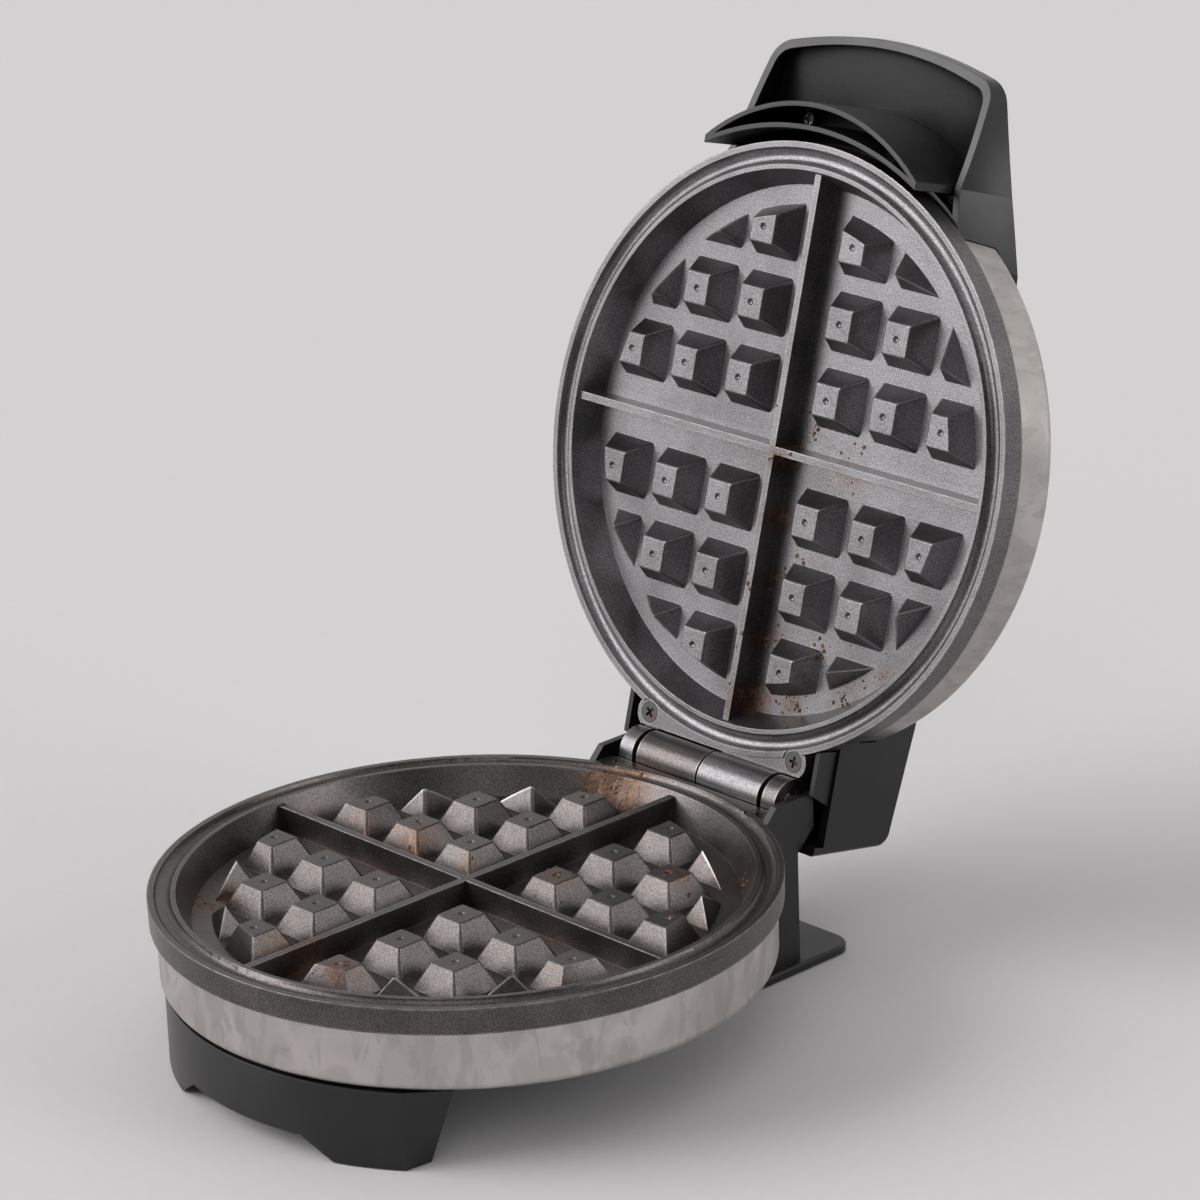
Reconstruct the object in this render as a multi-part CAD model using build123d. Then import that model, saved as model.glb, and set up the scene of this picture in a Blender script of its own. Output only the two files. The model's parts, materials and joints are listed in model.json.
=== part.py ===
from build123d import *
import math
import os

# Round Belgian waffle maker, standing open. Millimetres, +Z up, +Y towards the hinge.
# The lid is drawn shut, flat over the base, and then swung open about the hinge pin.

# Cast grids. The rim's radius drives the plan, and what lies near the rim is placed from it.
BENCH_TO_PARTING = 55.5   # height of the plane where the two grids meet
PARTING_GAP = 0.4         # gap left between the two rims when shut
RIM_R = 100.0
LIP_IN_R = RIM_R - 2.0           # inside of the outer lip
SEAL_OUT_R = RIM_R - 7.5         # outside of the inner lip
WELL_TOP_R = RIM_R - 9.0
WELL_FLOOR_R = RIM_R - 13.5
WELL_DEPTH = 9.5
GROOVE_DEPTH = 2.2
SKIRT_H = 8.5             # height of the casting's outer wall
SKIRT_DRAFT = 0.2
FLOOR_T = 4.0
SHOULDER_Z = 6.0          # depth of the ledge that the steel shell stands against
BOSS_R = 7.0              # boss under the middle of the grid

# Waffle pattern
BUMP_PITCH = 25.0
BUMP_FIRST = 19.95        # first row of bumps, from the middle
BUMP_BASE = 19.4
BUMP_TOP = 10.5
BUMP_BASE_ROUND = 1.3
BUMP_TOP_ROUND = 0.7
BUMP_DROP = 1.0           # bump tops below the rim
BUMP_EDGE = 0.35
DIMPLE_R = 1.35
DIMPLE_SINK = 0.7
BUMP_CLIP_TOP_R = RIM_R - 24.0    # the bumps are cut off by a cone near the edge
BUMP_CLIP_FLOOR_R = RIM_R - 20.0
DIVIDER_TOP_T = 2.6
DIVIDER_FLOOR_T = 3.6
DIVIDER_DROP = 1.4

# Hinge
HINGE_Y = RIM_R + 9.0
HINGE_Z = PARTING_GAP / 2   # pin axis above each rim, midway between the two
OPEN_ANGLE = 105.6
KNUCKLE_R = 8.0
PIN_R = 2.5
PIN_FIXED_GAP = 0.02
PIN_RUNNING_GAP = 0.06
BARREL_IN = 0.4           # the long barrel runs from here
BARREL_OUT = 28.0         # to here
EAR_IN = 30.0
EAR_OUT = 36.0
PIN_END = 37.4
CLIP_T = 0.8
CLIP_R = 4.4
CLIP_GAP = 0.15
FLANGE_HALF = 37.0
FLANGE_Y = RIM_R + 0.5
FLANGE_TOP = 0.4          # flange face below the parting plane
FLANGE_T = 4.0
WEB_DROP = 2.2            # top of the web between flange and barrel

# Flange screws
SCREW_X = 33.4
SCREW_Y = RIM_R - 3.8
SCREW_HEAD_R = 3.5
SCREW_HEAD_H = 2.0
SCREW_R = 1.8
SCREW_LEN = 14.0
SCREW_POCKET_R = 4.6
SCREW_GAP = 0.1
CROSS_L = 3.8
CROSS_W = 0.9
CROSS_DEEP = 1.2

# Steel shells
SHELL_FIT = 0.4           # the shell stands this far inside the rim's outer lip
SHELL_R = LIP_IN_R - SHELL_FIT
SHELL_T = 0.6
SHELL_GAP = 0.1
SHELL_ROUND = 3.0
LOWER_BAND_END = 28.5     # lowest point of the lower shell, below the parting plane
LOWER_MOUTH_R = RIM_R - 16.0
UPPER_BAND_END = 27.0     # where the lid's dome starts, above the parting plane
DOME_RISE = 10.0
WIRE_HOLE_R = 5.0
WIRE_HOLE_Z = 17.0

# Heating
ELEMENT_R = 58.0
TUBE_R = 3.25
ELEMENT_OPEN_DEG = 16.0
ELEMENT_GAP = 0.05
COLD_PIN_R = 1.4
COLD_PIN_L = 3.4
LEG_DROP = 4.2
REFLECTOR_R = RIM_R - 20.0
REFLECTOR_T = 0.5
REFLECTOR_Z = 21.4        # face towards the grid
REFLECTOR_RIM = 5.0
LEG_HOLE_R = 5.2
CLIP_STRAP_T = 0.8
CLIP_STRAP_W = 9.0
CLIP_FOOT_L = 5.0
CLIP_DEGS = (30.0, 180.0, 330.0)

# Centre fixings
BOLT_R = 3.0
BOLT_HEAD_R = 5.6
BOLT_HEAD_H = 4.0
BOLT_BITE = 5.0
SPACER_R = 5.5
FIT_GAP = 0.1

# Bottom cover
COVER_R = RIM_R - 10.0
COVER_T = 2.0
COVER_GAP = 0.1
COVER_LIP_H = 3.0
COVER_LIP_T = 2.0
COVER_ROUND = 1.2
COVER_BOSS_R = 5.0
COVER_BOSS_H = 4.0
COVER_SLOTS = 10           # vents in a ring
COVER_SLOT_AT = 42.0
COVER_SLOT_L = 16.0
COVER_SLOT_W = 3.0
FOOT_SCREW_X = 20.0
FOOT_SCREW_Y = RIM_R - 28.0

# Front foot
FOOT_R = RIM_R - 3.7
FOOT_T = 3.0
FOOT_HALF = 56.4          # corner between front and side faces
FOOT_PAD_IN = 36.0
FOOT_ARCH_HALF = 25.5
FOOT_ARCH_H = 7.3
FOOT_TOP_GAP = 0.9        # under the steel
FOOT_SIDE_TOP_X = 66.0
FOOT_SIDE_TOP_Y = RIM_R - 33.5
FOOT_SIDE_LOW_X = 57.6
FOOT_SIDE_LOW_Y = RIM_R - 30.6
FOOT_PLATE_T = 3.0
FOOT_BACK_Y = RIM_R - 40.0
FOOT_PAD_Y = RIM_R - 24.6
FOOT_PAD_L = 12.0
FOOT_PAD_W = 8.0
FOOT_PAD_ROUND = 3.0
FOOT_LIFT = 0.4           # the foot's lower edge above the bench
PAD_SEAT = 0.6

# Rear column and foot
COLUMN_HALF = 41.5
COLUMN_T = 2.6
COLUMN_FRONT_Y = RIM_R - 6.5
COLUMN_BACK_Y = RIM_R + 6.0
CHEEK_BACK_Y = RIM_R + 13.5
CHEEK_TOP = 3.8           # cheek top above the parting plane
CHEEK_FRONT_Y = RIM_R - 3.1
CHEEK_SLOPE_Y = RIM_R - 14.0      # where the sloping front edge ends, this far below its top
CHEEK_SLOPE_Z = 11.0
CHEEK_HEEL_Z = 8.0        # lowest point of the cheek's rear edge
CHEEK_FOOT_Z = 15.0       # and where it runs into the column's back
DECK_T = 2.8              # shelf that takes the flange screws
SHELL_CLEAR = 0.4
BOSS_OUT_R = 5.4
BOSS_LEN = 11.0
PLATE_HALF = 45.0
PLATE_FRONT_Y = RIM_R - 22.0
PLATE_BACK_Y = RIM_R + 28.0
PLATE_T = 2.8
PLATE_ROUND = 7.0
PLATE_SCREW_X = 30.0
PLATE_SCREW_Y = RIM_R - 0.5
TONGUE_FRONT_Y = RIM_R - 36.0
TONGUE_HALF = 22.0
TONGUE_T = 3.0
TONGUE_SCREW_X = 13.0
TONGUE_SCREW_Y = RIM_R - 29.0
STOP_W = 8.0
STOP_X = 24.0
STOP_GAP = 0.3
STOP_LOW = -1.5
REAR_PAD_R = 6.0
REAR_PAD_X = 36.0
REAR_PAD_YS = (RIM_R - 13.5, RIM_R + 19.0)

# Lid rear housing, heights above the parting plane of the shut lid
HOUSING_HALF = 45.0
HOUSING_IN_HALF = 42.0
HOUSING_T = 3.0
HOUSING_BACK_Y = RIM_R + 25.0
HOUSING_BACK_LEAN = 2.8
HOUSING_BACK_LOW = 4.8
HOUSING_SIDE_LOW = 8.8
HOUSING_CORNER_Z = 40.3
HOUSING_CREST_Y = RIM_R - 18.8
HOUSING_CREST_Z = 44.6
HOUSING_NOSE_Y = RIM_R - 56.0
HOUSING_NOSE_Z = 35.6
HOUSING_ROUND = 5.0
APRON_HALF = 44.0         # side wall in front of the hinge, down to the parting plane
APRON_LOW = 0.8
APRON_FRONT_Y = RIM_R - 18.0
APRON_BACK_Y = RIM_R + 5.0
APRON_SLOPE = 3.5

# Handle hood, drawn over the shut lid: half widths at two heights
HOOD_LOW_Z = 8.0
HOOD_HIGH_Z = 34.0
HOOD_WALL = 2.6
HOOD_TIP_LOW = RIM_R + 34.0
HOOD_TIP_HIGH = RIM_R + 36.0
HOOD_CORNER_LOW = (48.0, RIM_R + 28.0)
HOOD_CORNER_HIGH = (48.0, RIM_R + 28.5)
HOOD_KNEE_LOW = (48.6, RIM_R - 5.0)
HOOD_KNEE_HIGH = (56.8, RIM_R - 6.0)
HOOD_HIP_LOW = (57.0, RIM_R - 22.0)
HOOD_HIP_HIGH = (62.6, RIM_R - 30.0)
HOOD_BACK_Y = RIM_R - 38.0         # the hood reaches this far back over the dome
HOOD_REAR_R = RIM_R - 26.0         # round rear edge over the dome
HOOD_ROUND = 9.0
HOOD_RIM_START = 10.0     # rim height at HOOD_RIM_Y
HOOD_RIM_Y = RIM_R - 16.0
HOOD_RIM_SLOPE = 0.30
HOOD_TOP_START = 33.5     # top face height at HOOD_TOP_Y
HOOD_TOP_Y = RIM_R - 28.0
HOOD_TOP_SLOPE = -0.075
HOOD_INNER_R = RIM_R + 0.4      # curved wall of the hood that hugs the steel band
HOOD_BOSS_R = 4.5
HOOD_BOSS_Y = RIM_R - 8.0
HANDLE_SCREW_X = 45.5
HANDLE_SCREW_Z = 19.0
HANDLE_HEAD_Y = RIM_R - 16.4

# Handle guard: two curved walls in front of the rim
GUARD_IN_R = RIM_R + 4.0
GUARD_T = 1.6
GUARD_HALF = 47.0
GUARD_END_Y = RIM_R - 4.6
GUARD_CREST_Y = RIM_R + 13.0
GUARD_DROP = 4.6
GUARD_WEB_Z = 16.0
GUARD_WEB_T = 1.6
GUARD_SCREW_X = 20.0
GUARD_SCREW_Y = RIM_R + 6.1
GUARD_SCREW_R = 1.1
GUARD_HEAD_R = 2.1
POST_R = 2.2

# Lamps
LENS_R = 2.4
LENS_X = 9.0
LENS_Y = RIM_R + 8.0
LENS_PROUD = 0.6
LENS_GAP = 0.15
LENS_FLANGE_R = 2.6
LENS_FLANGE_T = 1.0
HOLDER_L = 27.0
HOLDER_W = 3.4
LAMP_HOLE_R = 2.6
LAMP_HOLE_Z = 20.5

# Controls and wiring
THERMOSTAT_R = 8.0
THERMOSTAT_H = 5.0
THERMOSTAT_AT = (26.0, -14.0)
FUSE_R = 2.1
FUSE_L = 12.0
FUSE_AT = (-26.0, -14.0)
BLOCK_L = 26.0
BLOCK_W = 5.5
BLOCK_H = 9.0
BLOCK_FRONT_Y = RIM_R - 3.0
BUSH_R = 5.5
BUSH_FLANGE_R = 7.5
BUSH_FLANGE_T = 2.0
BUSH_INSIDE = 0.4         # how far the bush passes the inside of the wall
BUSH_BORE_R = 3.4
BUSH_Z = 24.0             # above the bench
JUNCTION_L = 24.0
JUNCTION_W = 12.0
JUNCTION_H = 7.0
JUNCTION_Y = RIM_R + 6.0
WIRE_R = 1.1
WIRE_Z = 25.8
WIRE_RISE_Z = 23.7         # where the leads pass the rim of the reflector
WIRE_BEND = 3.0

PZ = BENCH_TO_PARTING
LEAD_OFF = COLD_PIN_R + WIRE_R + FIT_GAP / 2   # lead beside the pin of the heating ring
FLOOR_UNDER = WELL_DEPTH + FLOOR_T


def slab(x0, x1, y0, y1, z0, z1):
    """A box given by its limits."""
    return Pos((x0 + x1) / 2, (y0 + y1) / 2, (z0 + z1) / 2) * Box(x1 - x0, y1 - y0, z1 - z0)


def rod(radius, z0, z1, x=0.0, y=0.0):
    """An upright cylinder between two heights."""
    return Pos(x, y, (z0 + z1) / 2) * Cylinder(radius, z1 - z0)


def rod_x(radius, x0, x1, y, z):
    """A cylinder along X."""
    return Pos((x0 + x1) / 2, y, z) * Rot(0, 90, 0) * Cylinder(radius, x1 - x0)


def rod_y(radius, y0, y1, x, z):
    """A cylinder along Y."""
    return Pos(x, (y0 + y1) / 2, z) * Rot(90, 0, 0) * Cylinder(radius, y1 - y0)


def turned(points):
    """A solid turned about Z from an outline of (radius, height) points."""
    face = make_face(Plane.XZ * Polyline(*points, close=True))
    return revolve(face, Axis.Z)


def profile_x(points, x0, x1):
    """A solid with a (y, z) outline, running from x0 to x1."""
    face = make_face(Plane.YZ * Polyline(*points, close=True))
    return Pos(x0, 0, 0) * extrude(face, x1 - x0, dir=(1, 0, 0))


def group(pieces):
    """Several separate solids kept in one node."""
    return Compound(children=list(pieces))


def both_sides(piece):
    """The piece and its mirror image across the YZ plane."""
    return [piece, mirror(piece, Plane.YZ)]


# The grid casting, drawn with the parting plane at z = 0 and the waffle side up

def bump():
    """One waffle bump: a blunt pyramid with rounded corners and a dimple."""
    low = Pos(0, 0, -WELL_DEPTH) * RectangleRounded(BUMP_BASE, BUMP_BASE, BUMP_BASE_ROUND)
    high = Pos(0, 0, -BUMP_DROP) * RectangleRounded(BUMP_TOP, BUMP_TOP, BUMP_TOP_ROUND)
    body = loft([low, high], ruled=True)
    body = chamfer(body.faces().sort_by(Axis.Z)[-1].edges(), BUMP_EDGE)
    dimple_z = -BUMP_DROP + DIMPLE_R - DIMPLE_SINK
    body -= Pos(0, 0, dimple_z) * Sphere(DIMPLE_R)
    return body + Pos(0, 0, -WELL_DEPTH - 1) * extrude(
        RectangleRounded(BUMP_BASE, BUMP_BASE, BUMP_BASE_ROUND), 1)


def bump_places():
    """Middles of all bumps whose foot reaches inside the clipping cone."""
    places = []
    steps = range(4)
    for i in steps:
        for j in steps:
            x = BUMP_FIRST + i * BUMP_PITCH
            y = BUMP_FIRST + j * BUMP_PITCH
            near = math.hypot(x - BUMP_BASE / 2, y - BUMP_BASE / 2)
            if near < BUMP_CLIP_FLOOR_R - 2:
                places += [(x, y), (-x, y), (x, -y), (-x, -y)]
    return places


def divider(along_x):
    """One of the two walls that cross in the middle of the grid."""
    top = -DIVIDER_DROP
    half_low = DIVIDER_FLOOR_T / 2
    half_top = DIVIDER_TOP_T / 2
    low = -WELL_DEPTH - 0.5
    outline = [(-half_low, low), (half_low, low), (half_top, top), (-half_top, top)]
    wall = profile_x(outline, -WELL_TOP_R - 1, WELL_TOP_R + 1)
    return wall if along_x else Rot(0, 0, 90) * wall


def groove():
    """The shallow channel between the two lips of the rim, as a solid to cut away."""
    middle = (LIP_IN_R + SEAL_OUT_R) / 2
    arc = ThreePointArc((SEAL_OUT_R, 0), (middle, -GROOVE_DEPTH), (LIP_IN_R, 0))
    top = Polyline((LIP_IN_R, 0), (LIP_IN_R, 1), (SEAL_OUT_R, 1), (SEAL_OUT_R, 0))
    return revolve(make_face(Plane.XZ * (Curve() + [arc, top])), Axis.Z)


def knuckle_room():
    """Room for the knuckles of either grid to turn in."""
    return rod_x(KNUCKLE_R + SHELL_CLEAR, -FLANGE_HALF - 2, FLANGE_HALF + 2, HINGE_Y, HINGE_Z)


def flange():
    """Hinge flange behind the rim, with its barrel and ear."""
    top = -FLANGE_TOP
    low = top - FLANGE_T
    plate = slab(-FLANGE_HALF, FLANGE_HALF, SCREW_Y - 14, FLANGE_Y, low, top)
    plate = fillet(plate.edges().filter_by(Axis.Z).sort_by(Axis.Y)[-2:], 1.5)
    barrel = rod_x(KNUCKLE_R, -BARREL_OUT, -BARREL_IN, HINGE_Y, HINGE_Z)
    barrel += slab(-BARREL_OUT, -BARREL_IN, FLANGE_Y - 2, HINGE_Y, low - 2, -WEB_DROP)
    ear = rod_x(KNUCKLE_R, EAR_IN, EAR_OUT, HINGE_Y, HINGE_Z)
    ear += slab(EAR_IN, EAR_OUT, FLANGE_Y - 2, HINGE_Y, low - 2, -WEB_DROP)
    boss = rod(BOSS_OUT_R, low - 2, top, SCREW_X, SCREW_Y) - knuckle_room()
    boss -= rod(SHELL_R + SHELL_CLEAR, low - 3, -SHOULDER_Z)
    return plate + barrel + ear + both_sides(boss)


def waffle_casting():
    """The whole casting, before its hinge bores."""
    body = turned([
        (0, -FLOOR_UNDER), (WELL_FLOOR_R + FLOOR_T, -FLOOR_UNDER),
        (WELL_TOP_R + FLOOR_T - 1, -SHOULDER_Z), (LIP_IN_R, -SHOULDER_Z),
        (LIP_IN_R, -SKIRT_H), (RIM_R - SKIRT_DRAFT, -SKIRT_H), (RIM_R, 0), (0, 0)])
    body += flange()
    body -= turned([
        (0, -WELL_DEPTH), (WELL_FLOOR_R, -WELL_DEPTH), (WELL_TOP_R, 0), (WELL_TOP_R, 1), (0, 1)])
    body -= groove()

    clip = turned([
        (0, -WELL_DEPTH - 2), (BUMP_CLIP_FLOOR_R, -WELL_DEPTH - 2),
        (BUMP_CLIP_FLOOR_R, -WELL_DEPTH), (BUMP_CLIP_TOP_R, -BUMP_DROP), (0, -BUMP_DROP)])
    master = bump()
    whole = []
    cut = []
    for x, y in bump_places():
        piece = Pos(x, y, 0) * master
        far = math.hypot(abs(x) + BUMP_BASE / 2, abs(y) + BUMP_BASE / 2)
        if far > BUMP_CLIP_TOP_R:
            cut.append(piece & clip)
        else:
            whole.append(piece)
    walls = divider(True) + divider(False)
    walls &= turned([
        (0, -WELL_DEPTH - 1), (WELL_FLOOR_R + 1, -WELL_DEPTH - 1), (WELL_TOP_R + 1, 0), (0, 0)])
    body = body + walls + whole + cut

    for side in (-1, 1):
        at = (side * SCREW_X, SCREW_Y)
        body -= rod(SCREW_POCKET_R, -FLANGE_TOP, 1, *at)
        body -= rod(SCREW_R + SCREW_GAP, -FLOOR_UNDER, 0, *at)
        body -= screw_sink(SCREW_GAP).moved(Location((*at, -FLANGE_TOP)))
    body += rod(BOSS_R, -REFLECTOR_Z, -FLOOR_UNDER)
    body -= rod(BOLT_R + FIT_GAP / 4, -REFLECTOR_Z, -REFLECTOR_Z + BOLT_BITE + 1)
    return body


def bored(casting, gap):
    """The casting with a bore for the hinge pin."""
    return casting - rod_x(PIN_R + gap, -EAR_OUT - 1, EAR_OUT + 1, HINGE_Y, HINGE_Z)


def screw_sink(gap):
    """The cone of a countersunk head, its face at z = 0."""
    return turned([
        (0, -SCREW_HEAD_H - gap), (SCREW_R + gap, -SCREW_HEAD_H - gap),
        (SCREW_HEAD_R + gap, 0), (0, 0)])


def cross_recess(depth):
    """Two crossed slots, as a solid to cut from a screw head at z = 0."""
    one = slab(-CROSS_L / 2, CROSS_L / 2, -CROSS_W / 2, CROSS_W / 2, -depth, 1)
    return one + Rot(0, 0, 90) * one


def flange_screw():
    """Countersunk cross-head screw, its face at z = 0."""
    body = screw_sink(0) + rod(SCREW_R, -SCREW_LEN, -SCREW_HEAD_H)
    return body - cross_recess(CROSS_DEEP)


def flange_screws():
    """The pair of screws through the hinge flange."""
    return [
        Pos(side * SCREW_X, SCREW_Y, -FLANGE_TOP - SCREW_GAP / 2) * Rot(0, 0, 20 + 25 * side)
        * flange_screw() for side in (-1, 1)]


# Heating parts under a grid

def element_z():
    """Height of the middle of the heating tube."""
    return -FLOOR_UNDER - ELEMENT_GAP - TUBE_R


def leg_places():
    """Where the two ends of the heating tube turn down."""
    spots = []
    for side in (-1, 1):
        angle = math.radians(90 + side * ELEMENT_OPEN_DEG)
        spots.append((ELEMENT_R * math.cos(angle), ELEMENT_R * math.sin(angle)))
    return spots


def element():
    """Tubular heating ring with two turned-down ends and their pins."""
    start = 90 + ELEMENT_OPEN_DEG
    sweep_angle = 360 - 2 * ELEMENT_OPEN_DEG
    z = element_z()
    path = Pos(0, 0, z) * CenterArc((0, 0), ELEMENT_R, start, sweep_angle)
    section = Plane(origin=path @ 0, z_dir=path % 0) * Circle(TUBE_R)
    body = sweep(section, path=path)
    for x, y in leg_places():
        body += Pos(x, y, z) * Sphere(TUBE_R)
        body += rod(TUBE_R, z - TUBE_R - LEG_DROP, z, x, y)
        body += rod(COLD_PIN_R, z - TUBE_R - LEG_DROP - COLD_PIN_L, z, x, y)
    return body


def element_clips():
    """Straps that hold the heating tube against the grid."""
    z = element_z()
    inside = TUBE_R + ELEMENT_GAP
    outside = inside + CLIP_STRAP_T
    half = CLIP_STRAP_W / 2
    top = -FLOOR_UNDER
    strap = rod_y(outside, -half, half, 0, z) - rod_y(inside, -half - 1, half + 1, 0, z)
    strap &= slab(-outside - 1, outside + 1, -half, half, z - outside - 1, z)
    for side in (-1, 1):
        near = side * (inside + CLIP_STRAP_T / 2)
        strap += slab(near - CLIP_STRAP_T / 2, near + CLIP_STRAP_T / 2, -half, half, z, top)
        foot = side * (outside + CLIP_FOOT_L / 2)
        strap += slab(foot - CLIP_FOOT_L / 2, foot + CLIP_FOOT_L / 2,
                      -half, half, top - CLIP_STRAP_T, top)
    strap -= Pos(-ELEMENT_R, 0, z) * Torus(ELEMENT_R, inside)
    return [Rot(0, 0, deg) * Pos(ELEMENT_R, 0, 0) * strap for deg in CLIP_DEGS]


def reflector():
    """Thin dished sheet below the heating ring."""
    z = -REFLECTOR_Z
    body = turned([
        (BOLT_R + 0.5, z - REFLECTOR_T), (REFLECTOR_R + REFLECTOR_T, z - REFLECTOR_T),
        (REFLECTOR_R + REFLECTOR_T, z + REFLECTOR_RIM), (REFLECTOR_R, z + REFLECTOR_RIM),
        (REFLECTOR_R, z), (BOLT_R + 0.5, z)])
    for x, y in leg_places():
        body -= rod(LEG_HOLE_R, z - 1, z + 1, x, y)
    return body


def thermostat():
    """Disc thermostat with two blades, against the underside of the grid."""
    x, y = THERMOSTAT_AT
    top = -FLOOR_UNDER
    body = rod(THERMOSTAT_R, top - THERMOSTAT_H, top - FIT_GAP / 2, x, y)
    plate_half = THERMOSTAT_R + 5
    body += slab(x - plate_half, x + plate_half, y - 3, y + 3, top - 0.8, top - FIT_GAP / 2)
    for side in (-1, 1):
        blade_y = y + side * 3.5
        body += slab(x + THERMOSTAT_R - 2, x + THERMOSTAT_R + 7, blade_y - 1.5, blade_y + 1.5,
                     top - THERMOSTAT_H, top - THERMOSTAT_H + 0.8)
    return body


def thermal_fuse():
    """Thermal cut-out in its saddle, against the underside of the grid."""
    x, y = FUSE_AT
    top = -FLOOR_UNDER
    z = top - FIT_GAP / 2 - FUSE_R - 0.6
    body = rod_x(FUSE_R, x - FUSE_L / 2, x + FUSE_L / 2, y, z)
    saddle = slab(x - 3, x + 3, y - FUSE_R, y + FUSE_R, z, top - FIT_GAP / 2)
    return body + saddle


# Steel shells

def steel_cup(band_end, mouth_r, dome_rise):
    """Pressed shell below a grid: a band, a rounded edge and a floor with or without a mouth."""
    out_r = SHELL_R
    in_r = SHELL_R - SHELL_T
    top = -SHOULDER_Z - SHELL_GAP
    edge = -band_end
    turn_z = edge + SHELL_ROUND
    turn_r = out_r - SHELL_ROUND
    s = math.sqrt(0.5)
    mid_out = (turn_r + SHELL_ROUND * s, turn_z - SHELL_ROUND * s)
    inner = SHELL_ROUND - SHELL_T
    mid_in = (turn_r + inner * s, turn_z - inner * s)
    lines = Curve() + [
        Polyline((in_r, turn_z), (in_r, top), (out_r, top), (out_r, turn_z)),
        ThreePointArc((out_r, turn_z), mid_out, (turn_r, edge)),
        ThreePointArc((turn_r, edge + SHELL_T), mid_in, (in_r, turn_z))]
    if dome_rise > 0:
        crown = edge - dome_rise
        radius = (turn_r ** 2 + dome_rise ** 2) / (2 * dome_rise)
        drop = radius - math.sqrt(radius ** 2 - (turn_r / 2) ** 2)
        lines += [
            ThreePointArc((turn_r, edge), (turn_r / 2, crown + drop), (0, crown)),
            ThreePointArc((turn_r, edge + SHELL_T), (turn_r / 2, crown + drop + SHELL_T),
                          (0, crown + SHELL_T)),
            Line((0, crown), (0, crown + SHELL_T))]
    else:
        lines += [Polyline((turn_r, edge), (mouth_r, edge), (mouth_r, edge + SHELL_T),
                           (turn_r, edge + SHELL_T))]
    return revolve(make_face(Plane.XZ * lines), Axis.Z)


def cup_space(gap, dome_rise, band_end, low):
    """The room that a steel shell takes up, with a gap round it, as a solid to cut away."""
    out_r = SHELL_R + gap
    edge = -band_end - gap
    if dome_rise == 0:
        return turned([(0, edge), (out_r, edge), (out_r, low), (0, low)])
    turn_r = SHELL_R - SHELL_ROUND
    turn_z = -band_end + SHELL_ROUND
    s = math.sqrt(0.5)
    radius = (turn_r ** 2 + dome_rise ** 2) / (2 * dome_rise)
    drop = radius - math.sqrt(radius ** 2 - (turn_r / 2) ** 2)
    crown = edge - dome_rise
    rounded = SHELL_ROUND + gap
    lines = Curve() + [
        ThreePointArc((0, crown), (turn_r / 2, crown + drop), (turn_r, edge)),
        ThreePointArc((turn_r, edge), (turn_r + rounded * s, turn_z - rounded * s), (out_r, turn_z)),
        Polyline((out_r, turn_z), (out_r, low), (0, low), (0, crown))]
    return revolve(make_face(Plane.XZ * lines), Axis.Z)


def lower_shell():
    """Lower steel shell, with a hole for the leads at the rear."""
    body = steel_cup(LOWER_BAND_END, LOWER_MOUTH_R, 0)
    return body - rod_y(WIRE_HOLE_R, 80, 110, 0, -WIRE_HOLE_Z)


def upper_shell():
    """Upper steel shell, drawn crown down, with holes for leads and for the handle screws."""
    body = steel_cup(UPPER_BAND_END, 0, DOME_RISE)
    body -= rod_y(WIRE_HOLE_R, 80, 110, 0, -WIRE_HOLE_Z)
    body -= rod_y(LAMP_HOLE_R, -110, -80, 0, -LAMP_HOLE_Z)
    for side in (-1, 1):
        body -= rod_y(SCREW_R + FIT_GAP, -110, -80, side * HANDLE_SCREW_X, -HANDLE_SCREW_Z)
    return body


# Base below the lower grid, heights below the parting plane of its rim

BENCH_Z = -(PZ - PARTING_GAP / 2)
COVER_TOP = -LOWER_BAND_END - COVER_GAP
COVER_LOW = COVER_TOP - COVER_T


def hex_prism(radius, z0, z1):
    """An upright hexagonal prism between two heights."""
    return Pos(0, 0, z0) * extrude(RegularPolygon(radius, 6), z1 - z0)


def cup_screw(x, y, head_z, length, up=1, shank_r=SCREW_R, head_r=SCREW_HEAD_R):
    """Pan-head screw with a cross recess. The head's bearing face is at head_z."""
    body = rod(shank_r, 0, length) + rod(head_r, -SCREW_HEAD_H, 0)
    body -= Pos(0, 0, -SCREW_HEAD_H) * Rot(180, 0, 0) * cross_recess(CROSS_DEEP)
    turn = Rot(0, 0, 0) if up > 0 else Rot(180, 0, 0)
    return Pos(x, y, head_z) * turn * body


def bottom_cover():
    """Cover that closes the lower shell, with screw bosses on its inside."""
    lip_r = LOWER_MOUTH_R - 0.6
    bore_r = BOLT_R + FIT_GAP
    body = turned([
        (bore_r, COVER_LOW), (COVER_R - COVER_ROUND, COVER_LOW), (COVER_R, COVER_LOW + COVER_ROUND),
        (COVER_R, COVER_TOP), (lip_r, COVER_TOP), (lip_r, COVER_TOP + COVER_LIP_H),
        (lip_r - COVER_LIP_T, COVER_TOP + COVER_LIP_H), (lip_r - COVER_LIP_T, COVER_TOP),
        (bore_r, COVER_TOP)])
    for x, y in cover_screw_places():
        body += rod(COVER_BOSS_R, COVER_TOP, COVER_TOP + COVER_BOSS_H, x, y)
        body -= rod(SCREW_R + PIN_FIXED_GAP, COVER_LOW - 1, COVER_TOP + COVER_BOSS_H + 1, x, y)
    slot = extrude(SlotOverall(COVER_SLOT_L, COVER_SLOT_W), COVER_T + 2)
    for index in range(COVER_SLOTS):
        turn = 360 / COVER_SLOTS * (index + 0.25)
        body -= Rot(0, 0, turn) * Pos(COVER_SLOT_AT, 0, COVER_LOW - 1) * slot
    return body


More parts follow.
